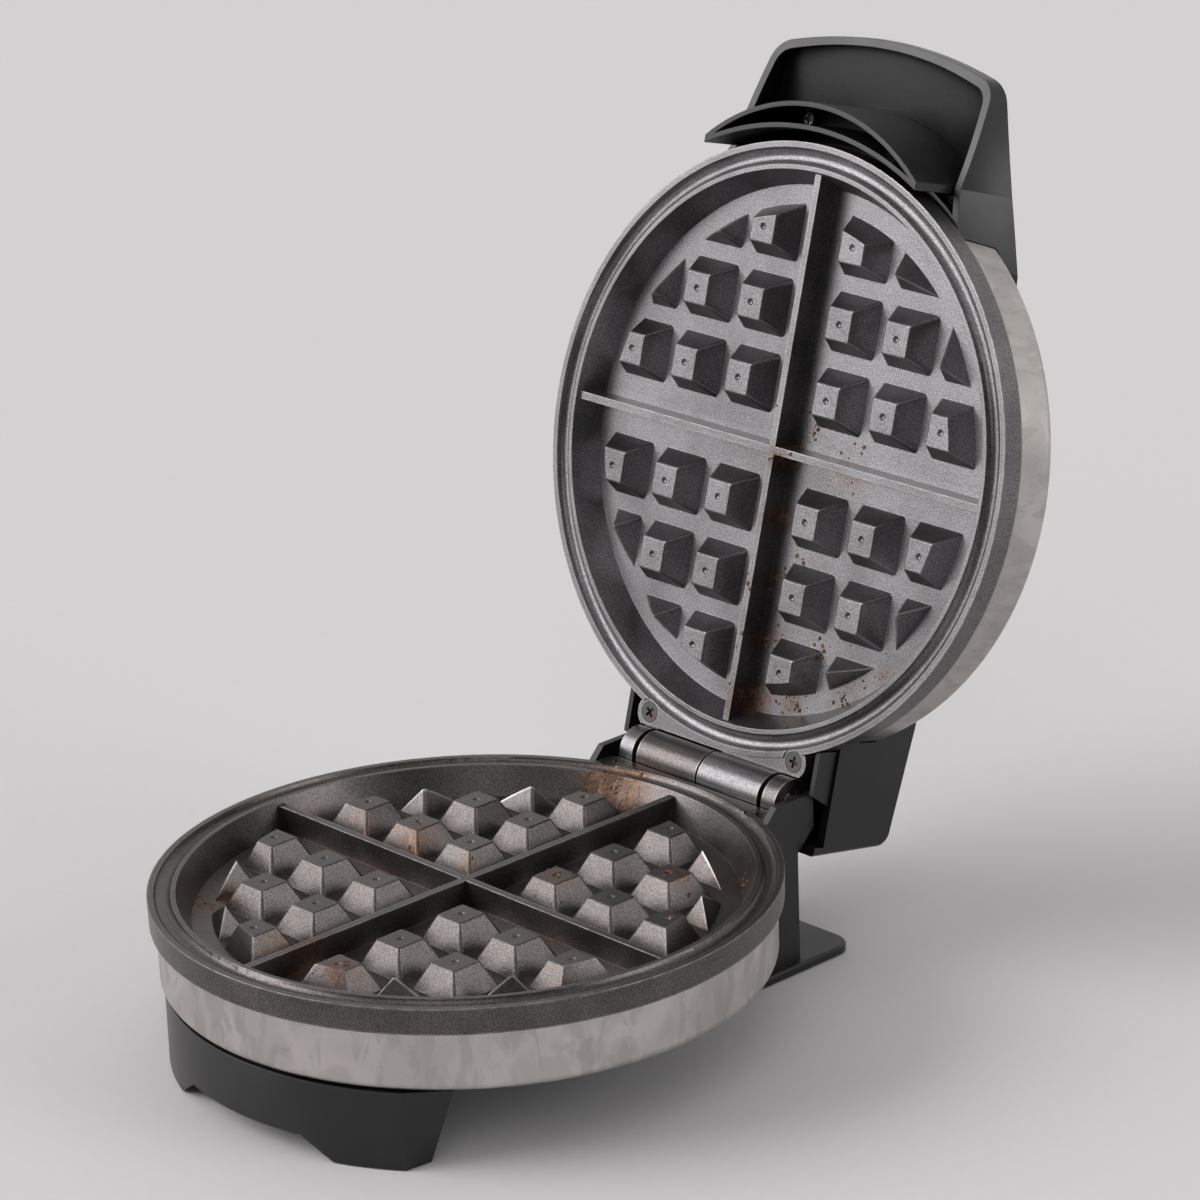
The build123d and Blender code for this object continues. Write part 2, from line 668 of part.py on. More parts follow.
def cover_screw_places():
    """Screws that hold the front foot and the column's tongue to the bottom cover."""
    return [(-FOOT_SCREW_X, -FOOT_SCREW_Y), (FOOT_SCREW_X, -FOOT_SCREW_Y),
            (-TONGUE_SCREW_X, TONGUE_SCREW_Y), (TONGUE_SCREW_X, TONGUE_SCREW_Y)]


def centre_bolt():
    """Bolt through the bottom cover into the boss of the lower grid."""
    body = rod(BOLT_R, COVER_LOW, -REFLECTOR_Z + BOLT_BITE)
    return body + hex_prism(BOLT_HEAD_R, COVER_LOW - BOLT_HEAD_H, COVER_LOW)


def centre_spacer():
    """Tube between the reflector and the bottom cover."""
    low, high = COVER_TOP, -REFLECTOR_Z - REFLECTOR_T
    return rod(SPACER_R, low, high) - rod(BOLT_R + FIT_GAP, low, high)


def foot_plan(radius, side_x, side_y, inset, back_y, z):
    """Plan of the front foot at one height: a front arc, two sides and an open back."""
    corner_x = FOOT_HALF - inset
    corner_y = -math.sqrt(radius ** 2 - corner_x ** 2)
    end_x = side_x - inset
    arc = ThreePointArc((-corner_x, corner_y), (0, -radius), (corner_x, corner_y))
    rest = Polyline((corner_x, corner_y), (end_x, -side_y), (end_x, -back_y),
                    (-end_x, -back_y), (-end_x, -side_y), (-corner_x, corner_y))
    return Pos(0, 0, z) * make_face(Curve() + [arc, rest])


def foot_block(radius, inset, back, z0, z1):
    """Block with the outline of the front foot, splayed towards its top."""
    low = foot_plan(radius, FOOT_SIDE_LOW_X, FOOT_SIDE_LOW_Y, inset, FOOT_SIDE_LOW_Y - back, z0)
    high = foot_plan(radius, FOOT_SIDE_TOP_X, FOOT_SIDE_TOP_Y, inset, FOOT_SIDE_TOP_Y - back, z1)
    return loft([low, high], ruled=True)


def front_foot():
    """Curved front foot: an arched wall with two hollow legs and a plate under the cover."""
    low = BENCH_Z + FOOT_LIFT
    high = -LOWER_BAND_END - FOOT_TOP_GAP
    arch = BENCH_Z + FOOT_ARCH_H
    plate_top = COVER_LOW - FIT_GAP / 2
    outer = foot_block(FOOT_R, 0, 0.5, low, high)
    inner = foot_block(FOOT_R - FOOT_T, FOOT_T, 12, low, high)
    body = outer - inner
    back = FOOT_SIDE_LOW_Y
    for side in (-1, 1):
        inside = min(side * FOOT_PAD_IN, side * 80)
        legs = slab(inside, inside + 80 - FOOT_PAD_IN, -FOOT_R, -back, low, low + FOOT_T)
        body += legs & outer
        rib = Polyline((side * FOOT_PAD_IN, low), (side * (FOOT_PAD_IN + FOOT_T), low),
                       (side * (FOOT_ARCH_HALF + FOOT_T), arch),
                       (side * (FOOT_ARCH_HALF + FOOT_T), plate_top - 1),
                       (side * FOOT_ARCH_HALF, plate_top - 1), (side * FOOT_ARCH_HALF, arch),
                       close=True)
        rib = Pos(0, -back, 0) * extrude(make_face(Plane.XZ * rib), FOOT_R, dir=(0, -1, 0))
        body += rib & outer
    arch_cut = Polyline((-FOOT_PAD_IN, low - 1), (-FOOT_PAD_IN, low), (-FOOT_ARCH_HALF, arch),
                        (FOOT_ARCH_HALF, arch), (FOOT_PAD_IN, low), (FOOT_PAD_IN, low - 1),
                        close=True)
    body -= extrude(make_face(Plane.XZ * arch_cut), FOOT_R + 1, dir=(0, -1, 0))
    plate = rod(FOOT_R - FOOT_T, plate_top - FOOT_PLATE_T, plate_top)
    plate &= slab(-FOOT_HALF, FOOT_HALF, -FOOT_R, -FOOT_BACK_Y, -99, 0)
    body += plate
    for x, y in cover_screw_places()[:2]:
        body -= rod(SCREW_R + FIT_GAP, -50, 0, x, y)
    for pad in foot_pads(FIT_GAP / 2):
        body -= pad
    return body


def foot_pads(gap=0.0):
    """Rubber pads under the two legs of the front foot."""
    pads = []
    for side in (-1, 1):
        middle = side * (FOOT_PAD_IN + FOOT_HALF) / 2
        outline = Pos(middle, -FOOT_PAD_Y, BENCH_Z - gap) * RectangleRounded(
            FOOT_PAD_L + 2 * gap, FOOT_PAD_W + 2 * gap, FOOT_PAD_ROUND)
        pads.append(extrude(outline, FOOT_LIFT + PAD_SEAT + 2 * gap))
    return pads


def front_foot_screws():
    """Screws that hold the front foot under the bottom cover."""
    head = COVER_LOW - FIT_GAP / 2 - FOOT_PLATE_T
    return [cup_screw(x, y, head, FOOT_PLATE_T + COVER_T + 3) for x, y in cover_screw_places()[:2]]


# Hinge column and rear foot

PLATE_TOP = BENCH_Z + PAD_SEAT + PLATE_T


def base_space():
    """Room taken up by the rim and the lower shell, with a gap, as a solid to cut away."""
    room = rod(RIM_R + SHELL_CLEAR, -SKIRT_H - SHELL_CLEAR, 20)
    return room + rod(SHELL_R + SHELL_CLEAR, -LOWER_BAND_END - SHELL_CLEAR, 0)


def deck_top():
    """Height of the shelf under the flange's bosses."""
    return -FLANGE_TOP - FLANGE_T - 2 - FIT_GAP


def stop_block(x, low):
    """The block that the rear edge of the lid's housing rests on when the lid is open."""
    shut = slab(x - STOP_W / 2, x + STOP_W / 2, HOUSING_BACK_Y - HOUSING_T, HOUSING_BACK_Y,
                low, PARTING_GAP + HOUSING_BACK_LOW - STOP_GAP)
    return shut.rotate(Axis((0, HINGE_Y, HINGE_Z), (1, 0, 0)), -OPEN_ANGLE)


def hinge_column():
    """Upright housing behind the base, with a cheek each side of the hinge."""
    half, wall = COLUMN_HALF, COLUMN_T
    back = COLUMN_BACK_Y
    top = deck_top()
    side = [
        (CHEEK_FRONT_Y, CHEEK_TOP), (CHEEK_BACK_Y, CHEEK_TOP), (CHEEK_BACK_Y, -CHEEK_HEEL_Z),
        (back, -CHEEK_FOOT_Z), (back, PLATE_TOP), (COLUMN_FRONT_Y, PLATE_TOP),
        (COLUMN_FRONT_Y, -LOWER_BAND_END - 5), (CHEEK_SLOPE_Y, -LOWER_BAND_END - 5),
        (CHEEK_SLOPE_Y, CHEEK_TOP - CHEEK_SLOPE_Z)]
    body = profile_x(side, half - wall, half)
    body += mirror(body, Plane.YZ)
    body += slab(-half, half, back - wall, back, PLATE_TOP, top)
    body += slab(-half, half, SCREW_Y - 10, back, top - DECK_T, top)
    body += slab(-half, half, COLUMN_FRONT_Y, back, PLATE_TOP, PLATE_TOP + wall)
    tongue_top = COVER_LOW - FIT_GAP / 2
    body += slab(-TONGUE_HALF, TONGUE_HALF, TONGUE_FRONT_Y, COLUMN_FRONT_Y,
                 tongue_top - TONGUE_T, tongue_top)
    body += slab(-half, half, COLUMN_FRONT_Y, COLUMN_FRONT_Y + wall,
                 PLATE_TOP, tongue_top)
    for x in (-SCREW_X, SCREW_X):
        body += rod(BOSS_OUT_R, top - BOSS_LEN, top, x, SCREW_Y)
    body -= base_space()
    body -= knuckle_room()
    for x in (-STOP_X, STOP_X):
        body += stop_block(x, STOP_LOW)
    for x in (-SCREW_X, SCREW_X):
        body -= rod(SCREW_R + PIN_FIXED_GAP, top - BOSS_LEN - 1, top + 1, x, SCREW_Y)
    for x, y in cover_screw_places()[2:]:
        body -= rod(SCREW_R + FIT_GAP, -45, 0, x, y)
    for x in (-PLATE_SCREW_X, PLATE_SCREW_X):
        body -= rod(SCREW_R + PIN_FIXED_GAP, PLATE_TOP - 1, PLATE_TOP + wall + 1, x, PLATE_SCREW_Y)
    body -= rod_y(BUSH_R + FIT_GAP, back - wall - 1, back + 1, 0, BENCH_Z + BUSH_Z)
    return body


def column_screws():
    """Screws that hold the column's tongue under the bottom cover."""
    head = COVER_LOW - FIT_GAP / 2 - TONGUE_T
    return [cup_screw(x, y, head, TONGUE_T + COVER_T + 3) for x, y in cover_screw_places()[2:]]


def rear_pad_places():
    """Middles of the rubber pads under the rear foot plate."""
    return [(side * REAR_PAD_X, y) for side in (-1, 1) for y in REAR_PAD_YS]


def rear_foot_plate():
    """Flat plate that the column stands on."""
    low = PLATE_TOP - PLATE_T
    outline = Polyline((-PLATE_HALF, PLATE_FRONT_Y), (PLATE_HALF, PLATE_FRONT_Y),
                       (PLATE_HALF, PLATE_BACK_Y), (-PLATE_HALF, PLATE_BACK_Y), close=True)
    body = Pos(0, 0, low) * extrude(make_face(outline), PLATE_T)
    body = fillet(body.edges().filter_by(Axis.Z), PLATE_ROUND)
    body = chamfer(body.faces().sort_by(Axis.Z)[-1].edges(), 0.6)
    for x, y in rear_pad_places():
        body -= rod(REAR_PAD_R + FIT_GAP / 2, BENCH_Z - 1, low + PAD_SEAT + FIT_GAP / 2, x, y)
    for x in (-PLATE_SCREW_X, PLATE_SCREW_X):
        sink = screw_sink(SCREW_GAP) + rod(SCREW_R + SCREW_GAP, -PLATE_T - 1, 0)
        body -= Pos(x, PLATE_SCREW_Y, low) * Rot(180, 0, 0) * sink
    return body


def rear_foot_pads():
    """Rubber pads under the rear foot plate."""
    low = PLATE_TOP - PLATE_T
    return [rod(REAR_PAD_R, BENCH_Z, low + PAD_SEAT, x, y) for x, y in rear_pad_places()]


def rear_foot_screws():
    """Countersunk screws up through the rear foot plate into the column."""
    low = PLATE_TOP - PLATE_T
    body = screw_sink(0) + rod(SCREW_R, -PLATE_T - COLUMN_T, -SCREW_HEAD_H)
    body -= cross_recess(CROSS_DEEP)
    return [Pos(x, PLATE_SCREW_Y, low + SCREW_GAP / 2) * Rot(180, 0, 0) * body
            for x in (-PLATE_SCREW_X, PLATE_SCREW_X)]


def hinge_pin():
    """Pin through all four knuckles, grooved at both ends."""
    body = rod_x(PIN_R, -PIN_END, PIN_END, HINGE_Y, HINGE_Z)
    body = chamfer(body.faces().sort_by(Axis.X)[0].edges(), 0.4)
    body = chamfer(body.faces().sort_by(Axis.X)[-1].edges(), 0.4)
    for side in (-1, 1):
        at = side * (EAR_OUT + CLIP_GAP + CLIP_T / 2)
        groove_ring = rod_x(PIN_R + 1, at - CLIP_T / 2, at + CLIP_T / 2, HINGE_Y, HINGE_Z)
        groove_ring -= rod_x(PIN_R - 0.5, at - 1, at + 1, HINGE_Y, HINGE_Z)
        body -= groove_ring
    return body


def hinge_pin_clips():
    """Spring clips in the pin's two grooves."""
    clips = []
    for side in (-1, 1):
        at = side * (EAR_OUT + CLIP_GAP + CLIP_T / 2)
        x0, x1 = at - CLIP_T / 2 + 0.02, at + CLIP_T / 2 - 0.02
        ring = rod_x(CLIP_R, x0, x1, HINGE_Y, HINGE_Z)
        ring -= rod_x(PIN_R - 0.48, x0 - 1, x1 + 1, HINGE_Y, HINGE_Z)
        ring -= slab(x0 - 1, x1 + 1, HINGE_Y - 1.6, HINGE_Y + 1.6, HINGE_Z, HINGE_Z + CLIP_R + 1)
        clips.append(ring)
    return clips


def terminal_block():
    """Block on the column's floor where the supply leads end."""
    low = PLATE_TOP + COLUMN_T
    body = slab(-BLOCK_L / 2, BLOCK_L / 2, BLOCK_FRONT_Y, BLOCK_FRONT_Y + BLOCK_W,
                low, low + BLOCK_H)
    for index in (-1, 0, 1):
        body -= rod(1.8, low + BLOCK_H - 4, low + BLOCK_H + 1,
                    index * BLOCK_L / 3.2, BLOCK_FRONT_Y + BLOCK_W / 2)
    return body


def cord_bush():
    """Bush in the column's back, where a supply cord would come in."""
    z = BENCH_Z + BUSH_Z
    back = COLUMN_BACK_Y
    body = rod_y(BUSH_R, back - COLUMN_T - BUSH_INSIDE, back, 0, z)
    body += rod_y(BUSH_FLANGE_R, back, back + BUSH_FLANGE_T, 0, z)
    return body - rod_y(BUSH_BORE_R, back - COLUMN_T - 2, back + BUSH_FLANGE_T + 1, 0, z)


def wire(points):
    """An insulated lead with rounded bends."""
    path = FilletPolyline(*points, radius=WIRE_BEND)
    section = Plane(origin=path @ 0, z_dir=path % 0) * Circle(WIRE_R)
    return sweep(section, path=path)


def base_wires():
    """Leads from the lower element to the terminal block."""
    leads = []
    block_top = PLATE_TOP + COLUMN_T + BLOCK_H
    block_y = BLOCK_FRONT_Y + BLOCK_W / 2
    for x, y in leg_places():
        side = math.copysign(1, x)
        block_x = side * BLOCK_L / 3.2
        leads.append(wire([
            (x, y + LEAD_OFF, -WIRE_Z), (side * 5.0, RIM_R - 38.0, -WIRE_Z),
            (side * 4.0, RIM_R - 26.0, -WIRE_RISE_Z), (side * 3.0, RIM_R - 14.5, -WIRE_RISE_Z),
            (side * 2.2, RIM_R - 8.0, -WIRE_HOLE_Z), (side * 2.2, block_y, -WIRE_HOLE_Z),
            (block_x, block_y, block_top + 10), (block_x, block_y, block_top)]))
    return leads


# Lid, heights above the parting plane of the shut lid's rim

def lid_space(gap):
    """Room taken up by the lid's rim and shell, with a gap, as a solid to cut away."""
    shell = cup_space(gap, DOME_RISE, UPPER_BAND_END, 0)
    return Rot(180, 0, 0) * shell + rod(RIM_R + SHELL_CLEAR, -20, SKIRT_H + SHELL_CLEAR)


def lid_rear_housing():
    """Housing behind the lid that covers the hinge, open towards it."""
    t = HOUSING_T
    back = HOUSING_BACK_Y
    corner = (back - HOUSING_BACK_LEAN, HOUSING_CORNER_Z)
    crest = (HOUSING_CREST_Y, HOUSING_CREST_Z)
    nose = (HOUSING_NOSE_Y, HOUSING_NOSE_Z)
    outer = profile_x([
        (back, HOUSING_BACK_LOW), corner, crest, nose, (HOUSING_NOSE_Y, HOUSING_SIDE_LOW),
        (back - t, HOUSING_SIDE_LOW), (back - t, HOUSING_BACK_LOW)], -HOUSING_HALF, HOUSING_HALF)
    outer = fillet([edge for edge in outer.edges().filter_by(Axis.X)
                    if edge.center().Z > HOUSING_NOSE_Z + 1], HOUSING_ROUND)
    outer = chamfer([edge for edge in outer.edges().filter_by(Axis.X, reverse=True)
                     if edge.center().Z > HOUSING_SIDE_LOW + 1
                     and edge.center().Y > HOUSING_NOSE_Y + 1], 1.0)
    inner = profile_x([
        (back - t, HOUSING_BACK_LOW - 5), (back - HOUSING_BACK_LEAN - t, HOUSING_CORNER_Z - t),
        (HOUSING_CREST_Y, HOUSING_CREST_Z - t), (HOUSING_NOSE_Y + 8, HOUSING_NOSE_Z - 3),
        (HOUSING_NOSE_Y + 8, HOUSING_BACK_LOW - 5)], -HOUSING_IN_HALF, HOUSING_IN_HALF)
    body = outer - inner
    apron = profile_x([
        (APRON_FRONT_Y, APRON_LOW), (APRON_BACK_Y, APRON_LOW),
        (APRON_BACK_Y + APRON_SLOPE, HOUSING_SIDE_LOW), (APRON_FRONT_Y, HOUSING_SIDE_LOW)],
        HOUSING_IN_HALF, APRON_HALF)
    body += [apron, mirror(apron, Plane.YZ)]
    deck = -deck_top()
    body += slab(-HOUSING_IN_HALF, HOUSING_IN_HALF, SCREW_Y - 10, FLANGE_Y, deck, deck + DECK_T)
    for x in (-SCREW_X, SCREW_X):
        body += rod(BOSS_OUT_R, deck, deck + BOSS_LEN, x, SCREW_Y)
        body -= rod(SCREW_R + PIN_FIXED_GAP, deck - 1, deck + BOSS_LEN + 1, x, SCREW_Y)
    return body - lid_space(SHELL_CLEAR)


def hood_plan(corner, knee, hip, tip, inset, back_y, z):
    """Plan of the handle hood at one height: a curved tip and two bent, splayed sides."""
    cx, cy = corner[0] - inset, corner[1] - inset
    kx, ky = knee[0] - inset, knee[1]
    hx, hy = hip[0] - inset, hip[1]
    arc = ThreePointArc((-cx, -cy), (0, -tip + inset), (cx, -cy))
    rest = Polyline((cx, -cy), (kx, -ky), (hx, -hy), (hx, -back_y), (-hx, -back_y),
                    (-hx, -hy), (-kx, -ky), (-cx, -cy))
    face = make_face(Curve() + [arc, rest])
    rounded = [v for v in face.vertices() if abs(v.Y + cy) < 0.01]
    return Pos(0, 0, z) * fillet(rounded, HOOD_ROUND - inset)


def hood_block(inset, back_y, z0, z1):
    """Block with the outline of the handle hood, splayed towards its top."""
    low = hood_plan(HOOD_CORNER_LOW, HOOD_KNEE_LOW, HOOD_HIP_LOW, HOOD_TIP_LOW, inset, back_y, z0)
    high = hood_plan(HOOD_CORNER_HIGH, HOOD_KNEE_HIGH, HOOD_HIP_HIGH, HOOD_TIP_HIGH,
                     inset, back_y, z1)
    return loft([low, high], ruled=True)


def sloped_room(z, y, slope, above):
    """All space above or below a sloping plane that passes through height z at -y."""
    run = RIM_R + 50.0
    far = 60.0 if above else -60.0
    z_front = z + slope * (run - y)
    z_back = z - slope * y
    return profile_x([(-run, z_front), (0, z_back), (0, z_back + far), (-run, z_front + far)],
                     -90, 90)


def hood_roof_room(gap):
    """All space above the underside of the hood's top wall, less a gap."""
    return sloped_room(HOOD_TOP_START - HOOD_WALL - gap, HOOD_TOP_Y, HOOD_TOP_SLOPE, True)


def handle_hood():
    """Hollow handle hood over the front of the lid, open downwards when the lid is shut."""
    rim = sloped_room(HOOD_RIM_START, HOOD_RIM_Y, HOOD_RIM_SLOPE, False)
    top = sloped_room(HOOD_TOP_START, HOOD_TOP_Y, HOOD_TOP_SLOPE, True)
    under = hood_roof_room(0)
    outer = hood_block(0, HOOD_BACK_Y, HOOD_LOW_Z, HOOD_HIGH_Z)
    inner = hood_block(HOOD_WALL, HOOD_BACK_Y - 5, HOOD_LOW_Z, HOOD_HIGH_Z)
    hug = rod(HOOD_INNER_R, -5, 60)
    cavity = inner - hug - under
    body = outer - cavity - rim - top
    for side in (-1, 1):
        boss = rod_y(HOOD_BOSS_R, -HOOD_BOSS_Y, -SHELL_R + 20, side * HANDLE_SCREW_X, HANDLE_SCREW_Z)
        body += boss & (outer - rim)
        post_top = HOOD_TOP_START - HOOD_WALL + HOOD_TOP_SLOPE * (GUARD_SCREW_Y - HOOD_TOP_Y) + 1
        post_low = GUARD_WEB_Z + GUARD_WEB_T + FIT_GAP
        body += rod(POST_R, post_low, post_top, side * GUARD_SCREW_X, -GUARD_SCREW_Y)
    body -= lid_space(SHELL_CLEAR / 2)
    body -= rod(HOOD_REAR_R, HOOD_LOW_Z, HOOD_HIGH_Z + 5)
    for side in (-1, 1):
        body -= rod_y(SCREW_R + PIN_FIXED_GAP, -HOOD_BOSS_Y - 1, -HOOD_BACK_Y,
                      side * HANDLE_SCREW_X, HANDLE_SCREW_Z)
        body -= rod(GUARD_SCREW_R + PIN_FIXED_GAP, 0, GUARD_WEB_Z + GUARD_WEB_T + 8,
                    side * GUARD_SCREW_X, -GUARD_SCREW_Y)
        lens_hole = rod(LENS_R + LENS_GAP, 20, 50, side * LENS_X, -LENS_Y)
        body -= lens_hole
    return body - rod_y(LAMP_HOLE_R, -GUARD_IN_R, 10 - RIM_R, 0, LAMP_HOLE_Z)


def guard_plan(inset, z):
    """Crescent between the rim and the hand: an arc round the rim and a tighter outer arc."""
    bow = GUARD_CREST_Y - GUARD_END_Y
    out_r = (GUARD_HALF ** 2 + bow ** 2) / (2 * bow)
    out_middle = -GUARD_CREST_Y + out_r
    outer = Pos(0, out_middle) * Circle(out_r - inset)
    inner = Circle(GUARD_IN_R + inset)
    front = Pos(0, -GUARD_CREST_Y) * Rectangle(2 * (GUARD_HALF - inset), 60)
    return Pos(0, 0, z) * ((outer - inner) & front)


def handle_guard():
    """Two curved walls with a web between them, in front of the lid's rim."""
    body = extrude(guard_plan(0, -GUARD_DROP), GUARD_DROP + HOOD_HIGH_Z)
    web_top = GUARD_WEB_Z + GUARD_WEB_T
    body -= extrude(guard_plan(GUARD_T, -GUARD_DROP - 1), GUARD_DROP + 1 + GUARD_WEB_Z)
    body -= extrude(guard_plan(GUARD_T, web_top), HOOD_HIGH_Z)
    body -= hood_roof_room(FIT_GAP / 2)
    for side in (-1, 1):
        body -= rod(GUARD_SCREW_R + FIT_GAP, 0, web_top + 1, side * GUARD_SCREW_X, -GUARD_SCREW_Y)
    return body - rod_y(LAMP_HOLE_R, -GUARD_IN_R - GUARD_T - 1, 10 - RIM_R, 0, LAMP_HOLE_Z)


def guard_screws():
    """Screws up through the guard's web into the posts of the hood."""
    return [cup_screw(side * GUARD_SCREW_X, -GUARD_SCREW_Y, GUARD_WEB_Z, GUARD_WEB_T + 7,
                      1, GUARD_SCREW_R, GUARD_HEAD_R) for side in (-1, 1)]


def handle_screws():
    """Screws from inside the shell into the hood."""
    length = HOOD_BOSS_Y - HANDLE_HEAD_Y - 0.5
    body = Rot(90, 0, 0) * cup_screw(0, 0, 0, length)
    return [Pos(side * HANDLE_SCREW_X, -HANDLE_HEAD_Y, HANDLE_SCREW_Z) * body for side in (-1, 1)]


def hood_top_at(y):
    """Height of the hood's top face at a distance y in front of the middle."""
    return HOOD_TOP_START + HOOD_TOP_SLOPE * (y - HOOD_TOP_Y)


def indicator_lens(side):
    """Domed lens in the hood's top, with a flange under it."""
    top = hood_top_at(LENS_Y)
    seat = top - HOOD_WALL - 0.3
    body = rod(LENS_R, seat - LENS_FLANGE_T, top + LENS_PROUD, side * LENS_X, -LENS_Y)
    body = fillet(body.faces().sort_by(Axis.Z)[-1].edges(), LENS_PROUD - 0.1)
    flange_part = rod(LENS_FLANGE_R, seat - LENS_FLANGE_T, seat, side * LENS_X, -LENS_Y)
    keep = slab(-60, 60, -LENS_Y - HOLDER_W / 2, -LENS_Y + HOLDER_W / 2, 0, 60)
    return body + (flange_part & keep)


def lamp_holder():
    """Strip behind the two lenses that carries the lamps."""
    low = GUARD_WEB_Z + GUARD_WEB_T + FIT_GAP
    high = hood_top_at(LENS_Y) - HOOD_WALL - 0.3 - LENS_FLANGE_T - FIT_GAP
    half = HOLDER_W / 2
    return slab(-HOLDER_L / 2, HOLDER_L / 2, -LENS_Y - half, -LENS_Y + half, low, high)


def dome_inside(r):
    """Height of the inside of the lid's dome at a radius, above the parting plane."""
    turn_r = SHELL_R - SHELL_ROUND
    radius = (turn_r ** 2 + DOME_RISE ** 2) / (2 * DOME_RISE)
    return UPPER_BAND_END + DOME_RISE - SHELL_T - (radius - math.sqrt(radius ** 2 - r ** 2))


def upper_stud():
    """Stud welded inside the dome that holds the lid's shell to its grid."""
    pad_r = BOLT_R + 5
    top = dome_inside(pad_r) - FIT_GAP / 2
    return rod(BOLT_R, REFLECTOR_Z - BOLT_BITE, top) + rod(pad_r, top - 1.5, top)


def upper_stud_nut():
    """Nut that clamps the reflector to the lid grid's boss."""
    low = REFLECTOR_Z + REFLECTOR_T
    return hex_prism(BOLT_HEAD_R, low, low + BOLT_HEAD_H) - rod(BOLT_R + FIT_GAP / 4, low, low + 9)


def housing_roof_at(y):
    """Height of the inside of the rear housing's roof at a distance y behind the middle."""
    back = HOUSING_BACK_Y - HOUSING_BACK_LEAN - HOUSING_T
    rise = (HOUSING_CREST_Z - HOUSING_CORNER_Z) / (back - HOUSING_CREST_Y)
    return HOUSING_CORNER_Z - HOUSING_T + rise * (back - y)


def junction_block():
    """Connector under the housing's roof where the lid's leads meet."""
    front, back = JUNCTION_Y - JUNCTION_W / 2, JUNCTION_Y + JUNCTION_W / 2
    low = housing_roof_at(back) - JUNCTION_H
    return profile_x([
        (front, low), (back, low), (back, housing_roof_at(back) - FIT_GAP / 2),
        (front, housing_roof_at(front) - FIT_GAP / 2)], -JUNCTION_L / 2, JUNCTION_L / 2)


def lid_wires():
    """Leads from the upper element to the junction block and to the lamps."""
    leads = []
    block_low = housing_roof_at(JUNCTION_Y + JUNCTION_W / 2) - JUNCTION_H
    holder_y = -LENS_Y + HOLDER_W / 2
    for x, y in leg_places():
        side = math.copysign(1, x)
        end_x = side * JUNCTION_L / 4
        leads.append(wire([
            (x, y + LEAD_OFF, WIRE_Z), (side * 5.0, RIM_R - 30.0, WIRE_Z),
            (side * 3.0, RIM_R - 14.5, WIRE_RISE_Z), (side * 2.2, RIM_R - 8.0, WIRE_HOLE_Z),
            (side * 2.2, RIM_R + 4.0, WIRE_HOLE_Z), (end_x, JUNCTION_Y, block_low - 8),
            (end_x, JUNCTION_Y, block_low)]))
        leads.append(wire([
            (x, y - LEAD_OFF, WIRE_Z), (side * 20.0, 10.0, WIRE_Z),
            (side * 12.0, 40.0 - RIM_R, WIRE_Z), (side * 3.0, 18.0 - RIM_R, WIRE_Z),
            (side * 1.3, 9.0 - RIM_R, LAMP_HOLE_Z), (side * 1.3, holder_y, LAMP_HOLE_Z)]))
    return leads


# Placing

def place_base(piece):
    """Piece drawn for the base, at its height above the bench."""
    return Pos(0, 0, PZ - PARTING_GAP / 2) * piece


def swing_open(piece):
    """Piece of the shut lid, swung open about the hinge pin."""
    return piece.rotate(Axis((0, HINGE_Y, PZ), (1, 0, 0)), -OPEN_ANGLE)


def place_lid(piece):
    """Piece drawn above the parting plane, in the open lid."""
    return swing_open(Pos(0, 0, PZ + PARTING_GAP / 2) * piece)


def place_lid_turned(piece):
    """Piece drawn as for the base, turned over into the open lid."""
    return swing_open(Pos(0, 0, PZ + PARTING_GAP / 2) * Rot(0, 180, 0) * piece)


def build():
    """All sub-parts by name, each a list of solids, with the grid's middle over the origin."""
    casting = waffle_casting()
    base = {
        "lower_grid": bored(casting, PIN_FIXED_GAP),
        "lower_shell": lower_shell(),
        "lower_element": element(),
        "lower_element_clips": element_clips(),
        "lower_reflector": reflector(),
        "thermostat": thermostat(),
        "thermal_fuse": thermal_fuse(),
        "centre_bolt": centre_bolt(),
        "centre_spacer": centre_spacer(),
        "bottom_cover": bottom_cover(),
        "front_foot": front_foot(),
        "front_foot_pads": foot_pads(),
        "front_foot_screws": front_foot_screws(),
        "hinge_column": hinge_column(),
        "column_screws": column_screws(),
        "lower_flange_screws": flange_screws(),
        "rear_foot_plate": rear_foot_plate(),
        "rear_foot_pads": rear_foot_pads(),
        "rear_foot_screws": rear_foot_screws(),
        "hinge_pin": hinge_pin(),
        "hinge_pin_clips": hinge_pin_clips(),
        "terminal_block": terminal_block(),
        "cord_bush": cord_bush(),
        "base_wires": base_wires(),
    }
    turned_lid = {
        "upper_grid": bored(casting, PIN_RUNNING_GAP),
        "upper_shell": upper_shell(),
        "upper_element": element(),
        "upper_element_clips": element_clips(),
        "upper_reflector": reflector(),
        "upper_flange_screws": flange_screws(),
    }
    lid = {
        "upper_stud": upper_stud(),
        "upper_stud_nut": upper_stud_nut(),
        "lid_rear_housing": lid_rear_housing(),
        "junction_block": junction_block(),
        "handle_hood": handle_hood(),
        "handle_guard": handle_guard(),
        "guard_screws": guard_screws(),
        "handle_screws": handle_screws(),
        "power_lens": indicator_lens(-1),
        "ready_lens": indicator_lens(1),
        "lamp_holder": lamp_holder(),
        "lid_wires": lid_wires(),
    }
    nodes = {}
    for pieces, place in ((base, place_base), (turned_lid, place_lid_turned), (lid, place_lid)):
        for name, piece in pieces.items():
            items = piece if isinstance(piece, list) else [piece]
            nodes[name] = [solid for item in items for solid in place(item).solids()]
    return nodes


